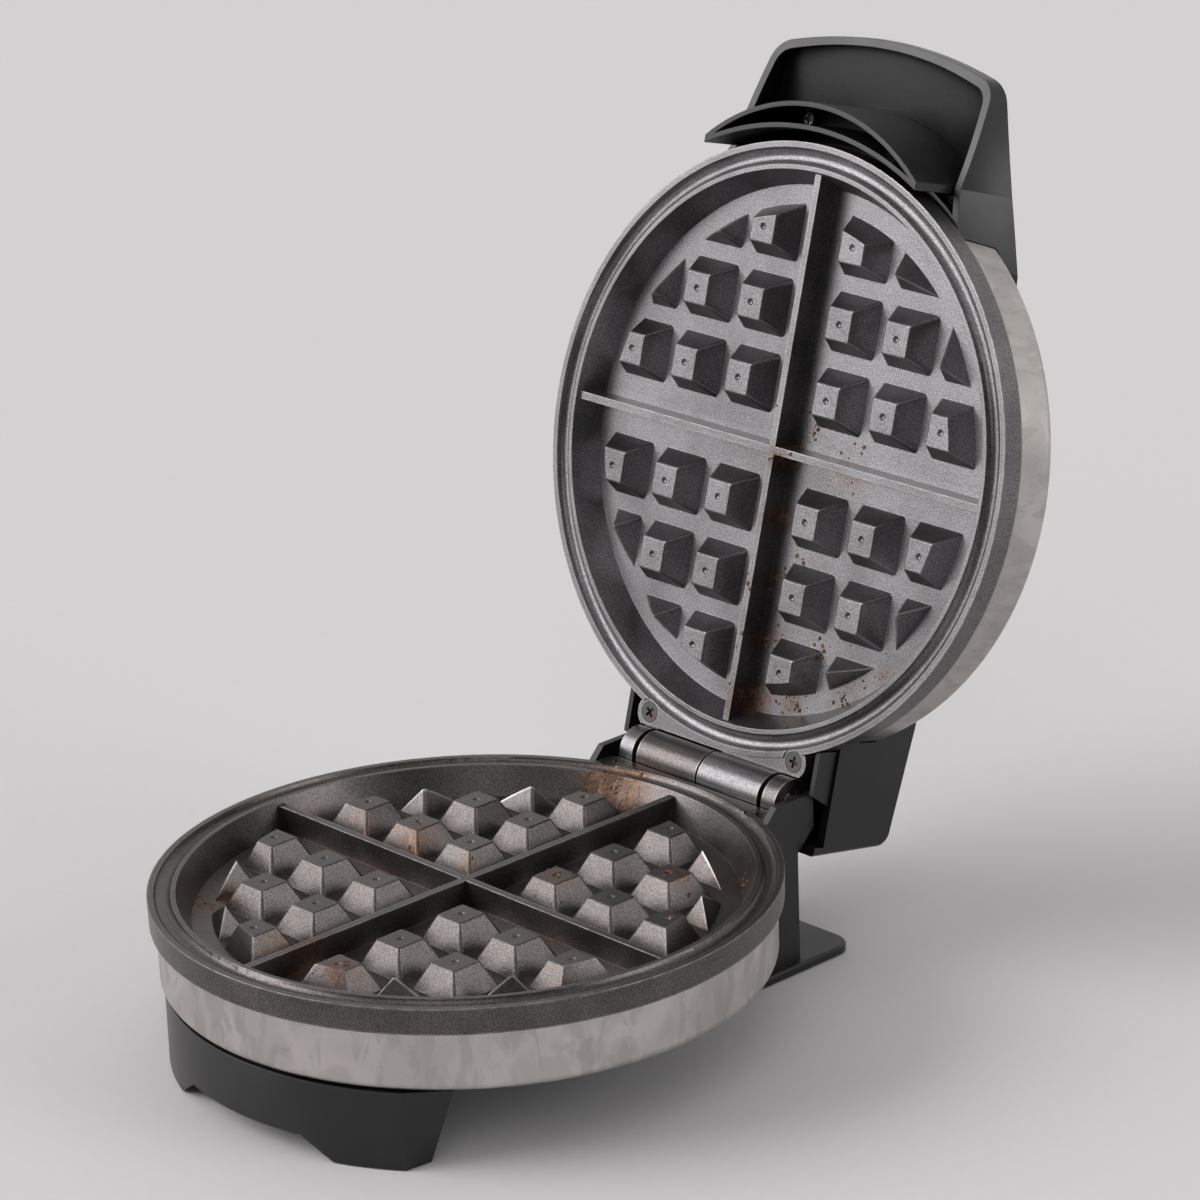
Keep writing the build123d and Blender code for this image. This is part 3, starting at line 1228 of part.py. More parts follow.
def main():
    """Writes every sub-part, with the origin under the middle of the whole object's box."""
    nodes = build()
    boxes = [solid.bounding_box() for solids in nodes.values() for solid in solids]
    front = min(box.min.Y for box in boxes)
    back = max(box.max.Y for box in boxes)
    shift_y = -(front + back) / 2
    os.makedirs("parts", exist_ok=True)
    for name, solids in nodes.items():
        moved = [Pos(0, shift_y, 0) * solid for solid in solids]
        node = moved[0] if len(moved) == 1 else group(moved)
        export_step(node, os.path.join("parts", name + ".step"))
    print("wide", max(box.max.X for box in boxes) - min(box.min.X for box in boxes))
    print("deep", back - front)
    print("high", max(box.max.Z for box in boxes) - min(box.min.Z for box in boxes))
    print("hinge axis at y", round(HINGE_Y + shift_y, 4), "z", PZ)
    print("grid middle at y", round(shift_y, 4))


if __name__ == "__main__":
    main()
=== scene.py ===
"""Finishes, baked residue and a plain studio for a round hinged waffle maker."""
import json
import math
import random

import bmesh
import bpy
from bpy.props import FloatProperty, FloatVectorProperty, IntProperty, PointerProperty
from mathutils import Matrix, Vector
from mathutils.bvhtree import BVHTree


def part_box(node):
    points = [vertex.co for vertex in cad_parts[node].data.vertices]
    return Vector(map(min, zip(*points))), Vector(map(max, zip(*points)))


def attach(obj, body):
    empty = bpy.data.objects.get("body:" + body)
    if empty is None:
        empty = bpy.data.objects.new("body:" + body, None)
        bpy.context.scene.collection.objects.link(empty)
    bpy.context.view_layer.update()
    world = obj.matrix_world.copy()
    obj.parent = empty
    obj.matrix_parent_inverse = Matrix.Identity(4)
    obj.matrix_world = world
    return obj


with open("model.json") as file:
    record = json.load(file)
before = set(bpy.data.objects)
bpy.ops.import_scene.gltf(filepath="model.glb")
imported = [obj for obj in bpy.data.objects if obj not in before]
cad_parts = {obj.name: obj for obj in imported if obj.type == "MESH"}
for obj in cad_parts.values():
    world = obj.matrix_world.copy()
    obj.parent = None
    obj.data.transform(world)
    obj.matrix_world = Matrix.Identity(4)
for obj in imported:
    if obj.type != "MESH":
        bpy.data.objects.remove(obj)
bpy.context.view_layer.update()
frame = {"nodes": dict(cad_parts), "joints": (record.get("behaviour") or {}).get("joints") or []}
NODES = frame["nodes"]
HINGE = Vector(frame["joints"][0]["pos_m"])
OPEN_DEG = max(frame["joints"][0]["range_deg"])

bl_info = {
    "name": "Waffle maker finishes",
    "version": (1, 0, 0),
    "blender": (4, 5, 0),
    "location": "3D View > Sidebar > Waffle",
    "description": "Dresses a round hinged waffle maker and sets it in a plain studio",
    "category": "Object",
}

MM = 0.001
PARTING_Z = HINGE.z            # the hinge pin lies in the plane where the grids meet
RIM_GAP = 0.2 * MM             # each rim stops this far from that plane
GRID_CENTRE_Y = (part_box("lower_shell")[0].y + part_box("lower_shell")[1].y) / 2

# Places with baked residue: x and y from the middle of a grid, reach and strength, in mm
LOWER_SPOTS = (
    (-24, 86, 17, 1.0), (-38, 9, 15, 0.8), (-62, 9, 14, 0.6), (-12, 10, 10, 0.7),
    (19, 22, 10, 0.75), (45, 46, 10, 0.6), (56, 66, 13, 0.7), (-60, -56, 17, 0.7),
    (-4, -64, 16, 0.8), (22, -70, 9, 0.7), (70, 30, 12, 0.6), (40, -8, 16, 0.45),
    (-84, 4, 10, 0.5), (8, -30, 12, 0.4), (74, -28, 12, 0.45))
UPPER_SPOTS = (
    (3, 2, 8, 1.0), (4, 22, 9, 0.9), (4, 42, 9, 0.75), (5, 62, 10, 0.8), (5, 82, 12, 1.0),
    (20, 80, 10, 0.8), (42, 72, 12, 0.75), (57, 62, 10, 0.65), (28, 5, 14, 0.6),
    (14, 34, 14, 0.45), (-12, 14, 8, 0.4), (30, 60, 16, 0.4), (10, -8, 8, 0.6))
TRIES_PER_FLAKE = 12
DROP_FROM = 8 * MM             # flakes fall on a grid from this far beyond the parting plane
DROP_REACH = 40 * MM
HIGH_GROUND = 8.8 * MM         # what a falling flake meets before this stands high
HIGH_GROUND_BARE = 0.9         # share of the flakes that don't stay on high ground

# Soft boxes as the camera sees them: right, ahead, up, then the half angles in degrees of the
# bright middle and of the faded edge, and the strength
SOFT_BOXES = (
    (-0.87, -0.03, 0.48, 15, 28, 4.5),
    (-0.15, -0.70, 0.70, 9, 24, 1.2),
    (0.86, -0.38, 0.36, 9, 20, 2.9))
DARK_SIDE = 0.10               # share of light that comes back from the camera's side of the room
ACROSS_ROOM = (0.1, 1.0, 0.0)  # from the dark side to the bright one, as the camera sees it
LIGHT_TINT = (1.0, 0.985, 0.98)
BACKDROP = (0.62, 0.61, 0.615)
FLOOR_HALF = 4.0               # half the width of the paper, in metres
FLOOR_STEPS = 40
FLOOR_FADE = (-0.95, -0.40)    # where the floor's returned light fades, in metres across the room
FRAME_WIDTH = 36.0             # width of the camera's frame in mm


class WaffleSizes(bpy.types.PropertyGroup):
    """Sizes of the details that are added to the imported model."""
    edge_round: FloatProperty(
        name="Edge round", description="Radius that the moulded edges catch light over",
        default=0.35 * MM, unit="LENGTH")
    # Reach of the pale edge colour, which is partly real wear and partly a painted highlight
    wear_and_highlight_reach: FloatProperty(
        name="Wear reach", description="How far the bright wear runs in from an edge",
        default=0.9 * MM, unit="LENGTH")
    speck: FloatProperty(
        name="Speck", description="Size of the pale flecks in the coating",
        default=0.45 * MM, unit="LENGTH")
    flakes: IntProperty(
        name="Flakes", description="Flakes of baked residue on each grid", default=420)
    flake_size: FloatProperty(
        name="Flake size", description="Radius of the largest flakes",
        default=1.0 * MM, unit="LENGTH")


class WaffleColours(bpy.types.PropertyGroup):
    """Main colours of the finishes."""
    coating: FloatVectorProperty(
        name="Coating", description="Non-stick coating of the grids", subtype="COLOR",
        default=(0.162, 0.156, 0.163))
    # The lower grid's coating is darker and browner than the upper grid's
    coating_lower: FloatVectorProperty(
        name="Lower coating", description="Coating of the lower grid, dulled by use",
        subtype="COLOR", default=(0.104, 0.094, 0.091))
    # Pale edge colour: partly coating polished by use, partly a painted highlight on every outer
    # edge
    coating_worn_and_highlight: FloatVectorProperty(
        name="Worn edge", description="Coating where it is polished by use", subtype="COLOR",
        default=(0.50, 0.485, 0.47))
    residue: FloatVectorProperty(
        name="Residue", description="Baked batter", subtype="COLOR",
        default=(0.20, 0.088, 0.034))
    residue_burnt: FloatVectorProperty(
        name="Burnt residue", description="Batter that is burnt dark", subtype="COLOR",
        default=(0.030, 0.014, 0.008))
    steel: FloatVectorProperty(
        name="Steel", description="Brushed steel of the shells", subtype="COLOR",
        default=(0.54, 0.505, 0.485))
    plastic: FloatVectorProperty(
        name="Plastic", description="Black moulded plastic", subtype="COLOR",
        default=(0.0105, 0.0100, 0.0108))


class WaffleStudio(bpy.types.PropertyGroup):
    """The floor, the light and the view."""
    floor: FloatVectorProperty(
        name="Floor", description="Pale grey paper floor", subtype="COLOR",
        default=(0.72, 0.71, 0.72))
    sky_strength: FloatProperty(
        name="Sky strength", description="Strength of the even light all round", default=0.76)
    lens: FloatProperty(
        name="Lens", description="Focal length of the camera in mm on a 36 mm frame",
        default=144.229)
    azimuth: FloatProperty(
        name="Azimuth", description="Camera angle round the object from the front",
        default=math.radians(47.202), subtype="ANGLE")
    elevation: FloatProperty(
        name="Elevation", description="Camera angle above the floor",
        default=math.radians(20.13), subtype="ANGLE")
    roll: FloatProperty(
        name="Roll", description="Camera tilt about its own axis",
        default=math.radians(-2.109), subtype="ANGLE")
    distance: FloatProperty(
        name="Distance", description="Camera distance from the grid's middle",
        default=1507.403 * MM, unit="LENGTH")
    slide_right: FloatProperty(
        name="Slide right", description="Camera offset to its right",
        default=42.008 * MM, unit="LENGTH")
    slide_up: FloatProperty(
        name="Slide up", description="Camera offset upwards",
        default=86.667 * MM, unit="LENGTH")


def sizes():
    return bpy.context.scene.waffle_sizes


def colours():
    return bpy.context.scene.waffle_colours


def studio():
    return bpy.context.scene.waffle_studio


def shade(colour, share):
    """A colour made darker or lighter."""
    return tuple(part * share for part in colour)


class Nodes:
    """A node tree, with short calls for the nodes that the finishes and the sky share."""

    def __init__(self, tree):
        self.tree = tree
        self.tree.nodes.clear()

    def new(self, kind):
        return self.tree.nodes.new(kind)

    def put(self, socket, value):
        if isinstance(value, bpy.types.NodeSocket):
            self.tree.links.new(value, socket)
        elif socket.type == "RGBA" and len(value) == 3:
            socket.default_value = (*value, 1.0)
        else:
            socket.default_value = value

    def math(self, operation, a, b=0.0, clamp=False):
        node = self.new("ShaderNodeMath")
        node.operation = operation
        node.use_clamp = clamp
        self.put(node.inputs[0], a)
        self.put(node.inputs[1], b)
        return node.outputs[0]

    def vector(self, operation, a, b):
        node = self.new("ShaderNodeVectorMath")
        node.operation = operation
        self.put(node.inputs[0], a)
        self.put(node.inputs[1], b)
        return node.outputs["Value" if operation in ("LENGTH", "DISTANCE", "DOT_PRODUCT") else 0]

    def moved(self, vector, location=(0, 0, 0), rotation=(0, 0, 0), scale=(1, 1, 1)):
        node = self.new("ShaderNodeMapping")
        self.put(node.inputs["Vector"], vector)
        self.put(node.inputs["Location"], location)
        self.put(node.inputs["Rotation"], rotation)
        self.put(node.inputs["Scale"], scale)
        return node.outputs[0]

    def noise(self, vector, size, detail=3.0, roughness=0.55, distortion=0.0):
        """Noise with features of about the given size in metres."""
        node = self.new("ShaderNodeTexNoise")
        self.put(node.inputs["Vector"], vector)
        self.put(node.inputs["Scale"], 1.0 / size)
        self.put(node.inputs["Detail"], detail)
        self.put(node.inputs["Roughness"], roughness)
        self.put(node.inputs["Distortion"], distortion)
        return node.outputs["Fac"]

    def cells(self, vector, size):
        """Distance from the nearest of points scattered about the given size apart."""
        node = self.new("ShaderNodeTexVoronoi")
        self.put(node.inputs["Vector"], vector)
        self.put(node.inputs["Scale"], 1.0 / size)
        return node.outputs["Distance"]

    def range(self, value, low, high, to_low=0.0, to_high=1.0, smooth=True):
        node = self.new("ShaderNodeMapRange")
        node.interpolation_type = "SMOOTHSTEP" if smooth else "LINEAR"
        self.put(node.inputs["Value"], value)
        self.put(node.inputs["From Min"], low)
        self.put(node.inputs["From Max"], high)
        self.put(node.inputs["To Min"], to_low)
        self.put(node.inputs["To Max"], to_high)
        return node.outputs["Result"]

    def mix(self, share, a, b, blend="MIX"):
        """Mixes two colours, which are the node's inputs 6 and 7."""
        node = self.new("ShaderNodeMix")
        node.data_type = "RGBA"
        node.blend_type = blend
        self.put(node.inputs[0], share)
        self.put(node.inputs[6], a)
        self.put(node.inputs[7], b)
        return node.outputs[2]

    def split(self, vector):
        node = self.new("ShaderNodeSeparateXYZ")
        self.put(node.inputs[0], vector)
        return node.outputs

    def join(self, x, y, z):
        node = self.new("ShaderNodeCombineXYZ")
        for socket, value in zip(node.inputs, (x, y, z)):
            self.put(socket, value)
        return node.outputs[0]

    def occlusion(self, reach, inside):
        """0 in a crevice, or with inside on an outer edge, and 1 on open surface."""
        node = self.new("ShaderNodeAmbientOcclusion")
        node.samples = 4
        node.inside = inside
        node.only_local = True
        self.put(node.inputs["Distance"], reach)
        return node.outputs["AO"]

    def rounded(self, radius):
        node = self.new("ShaderNodeBevel")
        node.samples = 4
        self.put(node.inputs["Radius"], radius)
        return node.outputs["Normal"]

    def bump(self, height, depth, strength=1.0, normal=None):
        node = self.new("ShaderNodeBump")
        self.put(node.inputs["Height"], height)
        self.put(node.inputs["Distance"], depth)
        self.put(node.inputs["Strength"], strength)
        if normal is not None:
            self.put(node.inputs["Normal"], normal)
        return node.outputs[0]


class Finish(Nodes):
    """A new material with one principled shader."""

    def __init__(self, name):
        self.material = bpy.data.materials.new(name)
        self.material.use_nodes = True
        super().__init__(self.material.node_tree)
        out = self.new("ShaderNodeOutputMaterial")
        self.shader = self.new("ShaderNodeBsdfPrincipled")
        self.put(out.inputs["Surface"], self.shader.outputs["BSDF"])
        self.place = self.new("ShaderNodeTexCoord").outputs["Object"]

    def set(self, **values):
        """Sets or links the shader's inputs by name, with _ for a space."""
        for key, value in values.items():
            self.put(self.shader.inputs[key.replace("_", " ")], value)


def grid_place(finish, upper):
    """Coordinates from the middle of a grid, with z counted from its rim plane."""
    if not upper:
        return finish.moved(finish.place, (0, -GRID_CENTRE_Y, -(PARTING_Z - RIM_GAP)))
    turn = math.radians(OPEN_DEG)
    rotation = Matrix.Rotation(turn, 3, "X")
    offset = HINGE - rotation @ HINGE
    offset -= Vector((0, GRID_CENTRE_Y, PARTING_Z + RIM_GAP))
    return finish.moved(finish.place, tuple(offset), (turn, 0, 0))


def spot_field(finish, place, spots):
    """Strength of the baked residue, summed over its places."""
    total = None
    flat = finish.vector("MULTIPLY", place, (1, 1, 0))
    for x, y, reach, strength in spots:
        far = finish.vector("DISTANCE", flat, (x * MM, y * MM, 0))
        near = finish.range(far, 0.0, reach * 1.5 * MM, strength, 0.0)
        total = near if total is None else finish.math("MAXIMUM", total, near)
    return total


def coated_casting(name, upper, spots):
    """Dark speckled non-stick coating with edges partly polished by use and partly a painted
    highlight, and baked residue.
    """
    finish = Finish(name)
    tone = colours()
    coating = tuple(tone.coating if upper else tone.coating_lower)
    crevice_share = 0.14 if upper else 0.30
    stain_from, stain_full = (0.62, 1.02) if upper else (0.54, 0.90)
    size = sizes()
    place = grid_place(finish, upper)
    cloud = finish.noise(place, 26 * MM, 4.0)
    speck = finish.range(finish.noise(place, size.speck, 2.0, 0.7), 0.36, 0.66, 0.66, 1.50)
    grain = finish.noise(place, 1.1 * MM, 2.0)
    colour = finish.mix(finish.range(cloud, 0.3, 0.7), shade(coating, 0.82), shade(coating, 1.20))
    colour = finish.mix(1.0, colour, finish.join(speck, speck, speck), "MULTIPLY")

    # Outer edges get the pale colour: partly real wear, partly a painted highlight
    scuff = finish.range(finish.noise(place, 5 * MM, 4.0), 0.38, 0.62)
    edge = finish.occlusion(size.wear_and_highlight_reach, True)
    edge = finish.range(edge, 0.30, 0.86, 1.0, 0.0)
    edge = finish.math("MULTIPLY", edge, finish.range(scuff, 0.0, 1.0, 0.50, 1.0))
    colour = finish.mix(edge, colour, tuple(tone.coating_worn_and_highlight))

    film = spot_field(finish, place, spots)
    crevice = finish.range(finish.occlusion(6 * MM, False), 0.30, 0.85, 1.0, 0.0)
    patch = finish.noise(place, 7 * MM, 6.0, 0.68, 0.4)
    fine = finish.noise(place, 1.4 * MM, 4.0, 0.7)
    reach = finish.math("ADD", finish.math("MULTIPLY", film, 0.62),
                        finish.math("MULTIPLY", crevice, crevice_share))
    reach = finish.math("ADD", reach, finish.math("MULTIPLY", patch, 0.55))
    reach = finish.math("ADD", reach, finish.math("MULTIPLY", fine, 0.22))
    stain = finish.range(reach, stain_from, stain_full)
    crust = finish.range(reach, 0.92, 1.10)
    brown = finish.mix(finish.range(fine, 0.35, 0.65), tuple(tone.residue_burnt),
                       tuple(tone.residue))
    stained = finish.mix(0.62, colour, brown)
    colour = finish.mix(finish.math("MULTIPLY", stain, 0.85), colour, stained)
    colour = finish.mix(crust, colour, brown)

    roughness = finish.range(cloud, 0.25, 0.75, 0.29, 0.37)
    roughness = finish.math("ADD", roughness, finish.math("MULTIPLY", crust, 0.30))
    metal = finish.math("MULTIPLY", finish.math("SUBTRACT", 1.0, crust), 0.90)
    normal = finish.rounded(size.edge_round)
    normal = finish.bump(grain, 0.045 * MM, 0.8, normal)
    normal = finish.bump(finish.noise(place, 0.35 * MM, 1.0), 0.016 * MM, 0.7, normal)
    normal = finish.bump(crust, 0.22 * MM, 0.8, normal)
    finish.set(Base_Color=colour, Roughness=roughness, Metallic=metal, Normal=normal)
    return finish.material


def brushed_steel(name, upper):
    """Pressed steel, brushed round its axis, with handling marks."""
    finish = Finish(name)
    tone = colours()
    place = grid_place(finish, upper)
    x, y, z = finish.split(place)
    angle = finish.math("ARCTAN2", y, x)
    radius = finish.vector("LENGTH", finish.join(x, y, 0.0), (0, 0, 0))
    across = finish.math("ADD", z, radius)
    brush_at = finish.join(finish.math("MULTIPLY", angle, 0.0060), across, 0.0)
    brush = finish.noise(brush_at, 0.22 * MM, 3.0, 0.6)
    streak_at = finish.join(finish.math("MULTIPLY", angle, 0.020), across, 0.0)
    streak = finish.noise(streak_at, 1.6 * MM, 3.0, 0.6)
    smudge = finish.noise(place, 24 * MM, 3.0, 0.55, 0.8)
    wipe_at = finish.moved(place, rotation=(0, 0, math.radians(20)), scale=(1.0, 1.0, 0.35))
    wipe = finish.noise(wipe_at, 9 * MM, 3.0, 0.6, 1.2)
    mark_at = finish.vector("ADD", place, finish.join(
        finish.math("MULTIPLY", wipe, 12 * MM), 0.0, finish.math("MULTIPLY", smudge, 9 * MM)))
    prints = finish.range(finish.cells(mark_at, 15 * MM), 0.30, 0.42, 1.0, 0.0)
    prints = finish.math("MULTIPLY", prints, finish.range(smudge, 0.46, 0.56))

    handled = shade(tone.steel, 0.70)
    colour = finish.mix(finish.range(smudge, 0.35, 0.66), shade(tone.steel, 0.86),
                        shade(tone.steel, 1.06))
    colour = finish.mix(finish.math("MULTIPLY", finish.range(wipe, 0.48, 0.60), 0.60), colour,
                        handled)
    colour = finish.mix(finish.math("MULTIPLY", prints, 0.30), colour, handled)
    colour = finish.mix(finish.math("MULTIPLY", finish.range(brush, 0.35, 0.65), 0.10), colour,
                        (0.80, 0.78, 0.76))
    roughness = finish.range(brush, 0.3, 0.7, 0.27, 0.37)
    roughness = finish.math("ADD", roughness, finish.range(smudge, 0.4, 0.65, 0.0, 0.10))
    roughness = finish.math("ADD", roughness, finish.math("MULTIPLY", prints, 0.08))
    normal = finish.rounded(0.5 * MM)
    normal = finish.bump(brush, 0.010 * MM, 0.55, normal)
    normal = finish.bump(streak, 0.020 * MM, 0.35, normal)
    finish.set(Base_Color=colour, Roughness=roughness, Metallic=0.96, Normal=normal,
               Anisotropic=0.35)
    return finish.material


def moulded_plastic(name, colour, rough, grain_size, grain_depth, dust):
    """Moulded plastic with a fine grain, scuffs and dust, a painted highlight on outer edges, and
    painted shade as less shine in deep hollows.
    """
    finish = Finish(name)
    place = finish.place
    cloud = finish.noise(place, 32 * MM, 3.0)
    scuff_at = finish.moved(place, rotation=(0.4, 0.3, 0.7), scale=(1.0, 0.12, 1.0))
    scuff = finish.range(finish.noise(scuff_at, 0.9 * MM, 2.0, 0.7), 0.66, 0.74)
    scuff = finish.math("MULTIPLY", scuff, finish.range(cloud, 0.48, 0.62))
    specks = finish.range(finish.cells(place, 5.5 * MM), 0.035, 0.055, 1.0, 0.0)
    film = finish.math("MULTIPLY", finish.range(cloud, 0.40, 0.70), dust)
    dirty = finish.math("ADD", film, finish.math("MULTIPLY", specks, dust * 2.0), True)
    tone = finish.mix(finish.math("MULTIPLY", dirty, 0.30), colour, (0.12, 0.112, 0.105))
    # Painted highlight: outer edges are mixed towards a lighter grey
    edge = finish.range(finish.occlusion(0.5 * MM, True), 0.35, 0.85, 0.30, 0.0)
    tone = finish.mix(edge, tone, tuple(min(1.0, c * 2.0 + 0.05) for c in colour))
    roughness = finish.range(cloud, 0.3, 0.7, rough - 0.04, rough + 0.06)
    roughness = finish.math("ADD", roughness, finish.math("MULTIPLY", scuff, 0.18))
    normal = finish.rounded(0.4 * MM)
    normal = finish.bump(finish.noise(place, grain_size, 2.0), grain_depth, 0.6, normal)
    # Painted shade: the shine is turned down in deep hollows
    shine = finish.range(finish.occlusion(90 * MM, False), 0.72, 0.97, 0.04, 0.46)
    finish.set(Base_Color=tone, Roughness=roughness, Normal=normal, Specular_IOR_Level=shine)
    return finish.material


def plated_steel(name, colour, rough, rust):
    """Small turned and pressed steel pieces, with turning lines and rust in places."""
    finish = Finish(name)
    place = finish.place
    cloud = finish.noise(place, 6 * MM, 4.0, 0.6)
    lines = finish.noise(finish.moved(place, scale=(1.0, 0.2, 1.0)), 0.30 * MM, 2.0)
    tone = finish.mix(finish.range(cloud, 0.3, 0.7), shade(colour, 0.78), colour)
    crevice = finish.range(finish.occlusion(2.5 * MM, False), 0.35, 0.85, 1.0, 0.0)
    spots = finish.math("ADD", cloud, finish.math("MULTIPLY", crevice, 0.20))
    rusty = finish.math("MULTIPLY", finish.range(spots, 0.56, 0.74), rust)
    tone = finish.mix(rusty, tone, (0.19, 0.075, 0.028))
    roughness = finish.math("ADD", finish.range(cloud, 0.3, 0.7, rough - 0.05, rough + 0.08),
                            finish.math("MULTIPLY", rusty, 0.4))
    metal = finish.range(rusty, 0.0, 1.0, 0.95, 0.25, False)
    normal = finish.bump(lines, 0.012 * MM, 0.6, finish.rounded(0.25 * MM))
    finish.set(Base_Color=tone, Roughness=roughness, Metallic=metal, Normal=normal)
    return finish.material


def heater_sheath(name):
    """Heat-tinted tube of a heating ring, with brown and blue patches."""
    finish = Finish(name)
    place = finish.place
    tint = finish.noise(place, 14 * MM, 3.0, 0.6)
    colour = finish.mix(finish.range(tint, 0.35, 0.55), (0.17, 0.15, 0.14), (0.30, 0.24, 0.19))
    colour = finish.mix(finish.range(tint, 0.58, 0.75), colour, (0.14, 0.15, 0.20))
    fine = finish.noise(place, 0.5 * MM, 3.0)
    finish.set(Base_Color=colour, Roughness=finish.range(fine, 0.3, 0.7, 0.42, 0.58),
               Metallic=0.9, Normal=finish.bump(fine, 0.015 * MM, 0.6))
    return finish.material


def reflector_sheet(name):
    """Thin mill-finish sheet with rolling lines and dull patches."""
    finish = Finish(name)
    lines = finish.noise(finish.moved(finish.place, scale=(1.0, 0.03, 1.0)), 0.4 * MM, 3.0)
    dull = finish.noise(finish.place, 18 * MM, 4.0)
    colour = finish.mix(finish.range(dull, 0.35, 0.68), (0.74, 0.73, 0.72), (0.52, 0.49, 0.46))
    finish.set(Base_Color=colour, Roughness=finish.range(lines, 0.3, 0.7, 0.26, 0.42),
               Metallic=1.0, Normal=finish.bump(lines, 0.010 * MM, 0.5))
    return finish.material


def pale_insulator(name):
    """Off-white ceramic and moulded blocks, a little browned by heat."""
    finish = Finish(name)
    cloud = finish.noise(finish.place, 9 * MM, 4.0)
    grit = finish.noise(finish.place, 0.4 * MM, 2.0)
    colour = finish.mix(finish.range(cloud, 0.45, 0.75), (0.78, 0.76, 0.70), (0.55, 0.46, 0.34))
    finish.set(Base_Color=colour, Roughness=finish.range(grit, 0.3, 0.7, 0.55, 0.70),
               Normal=finish.bump(grit, 0.02 * MM, 0.6, finish.rounded(0.3 * MM)))
    return finish.material


def lead_sleeve(name):
    """Woven glass sleeve over a lead."""
    finish = Finish(name)
    weave = finish.cells(finish.moved(finish.place, scale=(1.0, 0.6, 1.4)), 0.45 * MM)
    cloud = finish.noise(finish.place, 8 * MM, 3.0)
    colour = finish.mix(finish.range(weave, 0.1, 0.6), (0.72, 0.70, 0.64), (0.48, 0.45, 0.40))
    colour = finish.mix(finish.math("MULTIPLY", finish.range(cloud, 0.5, 0.8), 0.5), colour,
                        (0.40, 0.32, 0.22))
    finish.set(Base_Color=colour, Roughness=0.85, Normal=finish.bump(weave, 0.06 * MM, 0.8))
    return finish.material


def pad_rubber(name):
    """Dull rubber feet with a gritty skin."""
    finish = Finish(name)
    grit = finish.noise(finish.place, 0.5 * MM, 3.0)
    dust = finish.noise(finish.place, 5 * MM, 3.0)
    colour = finish.mix(finish.range(dust, 0.45, 0.72), (0.022, 0.022, 0.022),
                        (0.07, 0.066, 0.06))
    finish.set(Base_Color=colour, Roughness=finish.range(grit, 0.3, 0.7, 0.72, 0.88),
               Normal=finish.bump(grit, 0.05 * MM, 0.8))
    return finish.material


def lens_plastic(name, colour):
    """Clear coloured lens with facets inside."""
    finish = Finish(name)
    facets = finish.cells(finish.place, 0.9 * MM)
    tone = finish.mix(finish.range(facets, 0.1, 0.6), colour, shade(colour, 0.45))
    haze = finish.noise(finish.place, 1.5 * MM, 3.0)
    finish.set(Base_Color=tone, Roughness=finish.range(haze, 0.3, 0.7, 0.08, 0.20),
               Transmission_Weight=0.35, IOR=1.49,
               Normal=finish.bump(facets, 0.03 * MM, 0.3))
    return finish.material


def baked_residue(name):
    """Dark crisp flakes of burnt batter."""
    finish = Finish(name)
    tone = colours()
    patch = finish.noise(finish.place, 2.2 * MM, 4.0, 0.65)
    fine = finish.noise(finish.place, 0.35 * MM, 3.0)
    colour = finish.mix(finish.range(patch, 0.38, 0.62), tuple(tone.residue_burnt),
                        tuple(tone.residue))
    colour = finish.mix(finish.range(fine, 0.62, 0.80), colour, (0.42, 0.25, 0.11))
    finish.set(Base_Color=colour, Roughness=finish.range(fine, 0.3, 0.7, 0.45, 0.75),
               Normal=finish.bump(fine, 0.08 * MM, 0.8))
    return finish.material


def dress(material, *names):
    """Gives CAD nodes a material in all their slots."""
    for name in names:
        mesh = NODES[name].data
        if not mesh.materials:
            mesh.materials.append(material)
        for index in range(len(mesh.materials)):
            mesh.materials[index] = material


def surface_of(name):
    """A search tree over a CAD node's faces, at rest in the row frame."""
    mesh = NODES[name].data
    points = [vertex.co.copy() for vertex in mesh.vertices]
    return BVHTree.FromPolygons(points, [list(face.vertices) for face in mesh.polygons])


def flake(mesh, centre, normal, radius, height, rng):
    """One low crumb: an uneven disc with a raised middle, sunk a little into what it is on."""
    across = normal.orthogonal().normalized()
    along = normal.cross(across)
    count = rng.choice((7, 8, 9, 10))
    turn = rng.uniform(0, math.tau)
    stretch = rng.uniform(0.55, 1.0)
    rings = []
    for share, lift in ((1.0, -0.15), (0.82, 0.62), (0.42, 1.0)):
        ring = []
        for index in range(count):
            angle = turn + math.tau * index / count
            reach = radius * share * rng.uniform(0.72, 1.12)
            x, y = reach * math.cos(angle), reach * math.sin(angle) * stretch
            rise = height * lift * rng.uniform(0.75, 1.15)
            ring.append(mesh.verts.new(centre + across * x + along * y + normal * rise))
        rings.append(ring)
    for outer, inner in zip(rings, rings[1:]):
        for index in range(count):
            after = (index + 1) % count
            mesh.faces.new((outer[index], outer[after], inner[after], inner[index]))
    mesh.faces.new(rings[-1])
    mesh.faces.new(list(reversed(rings[0])))


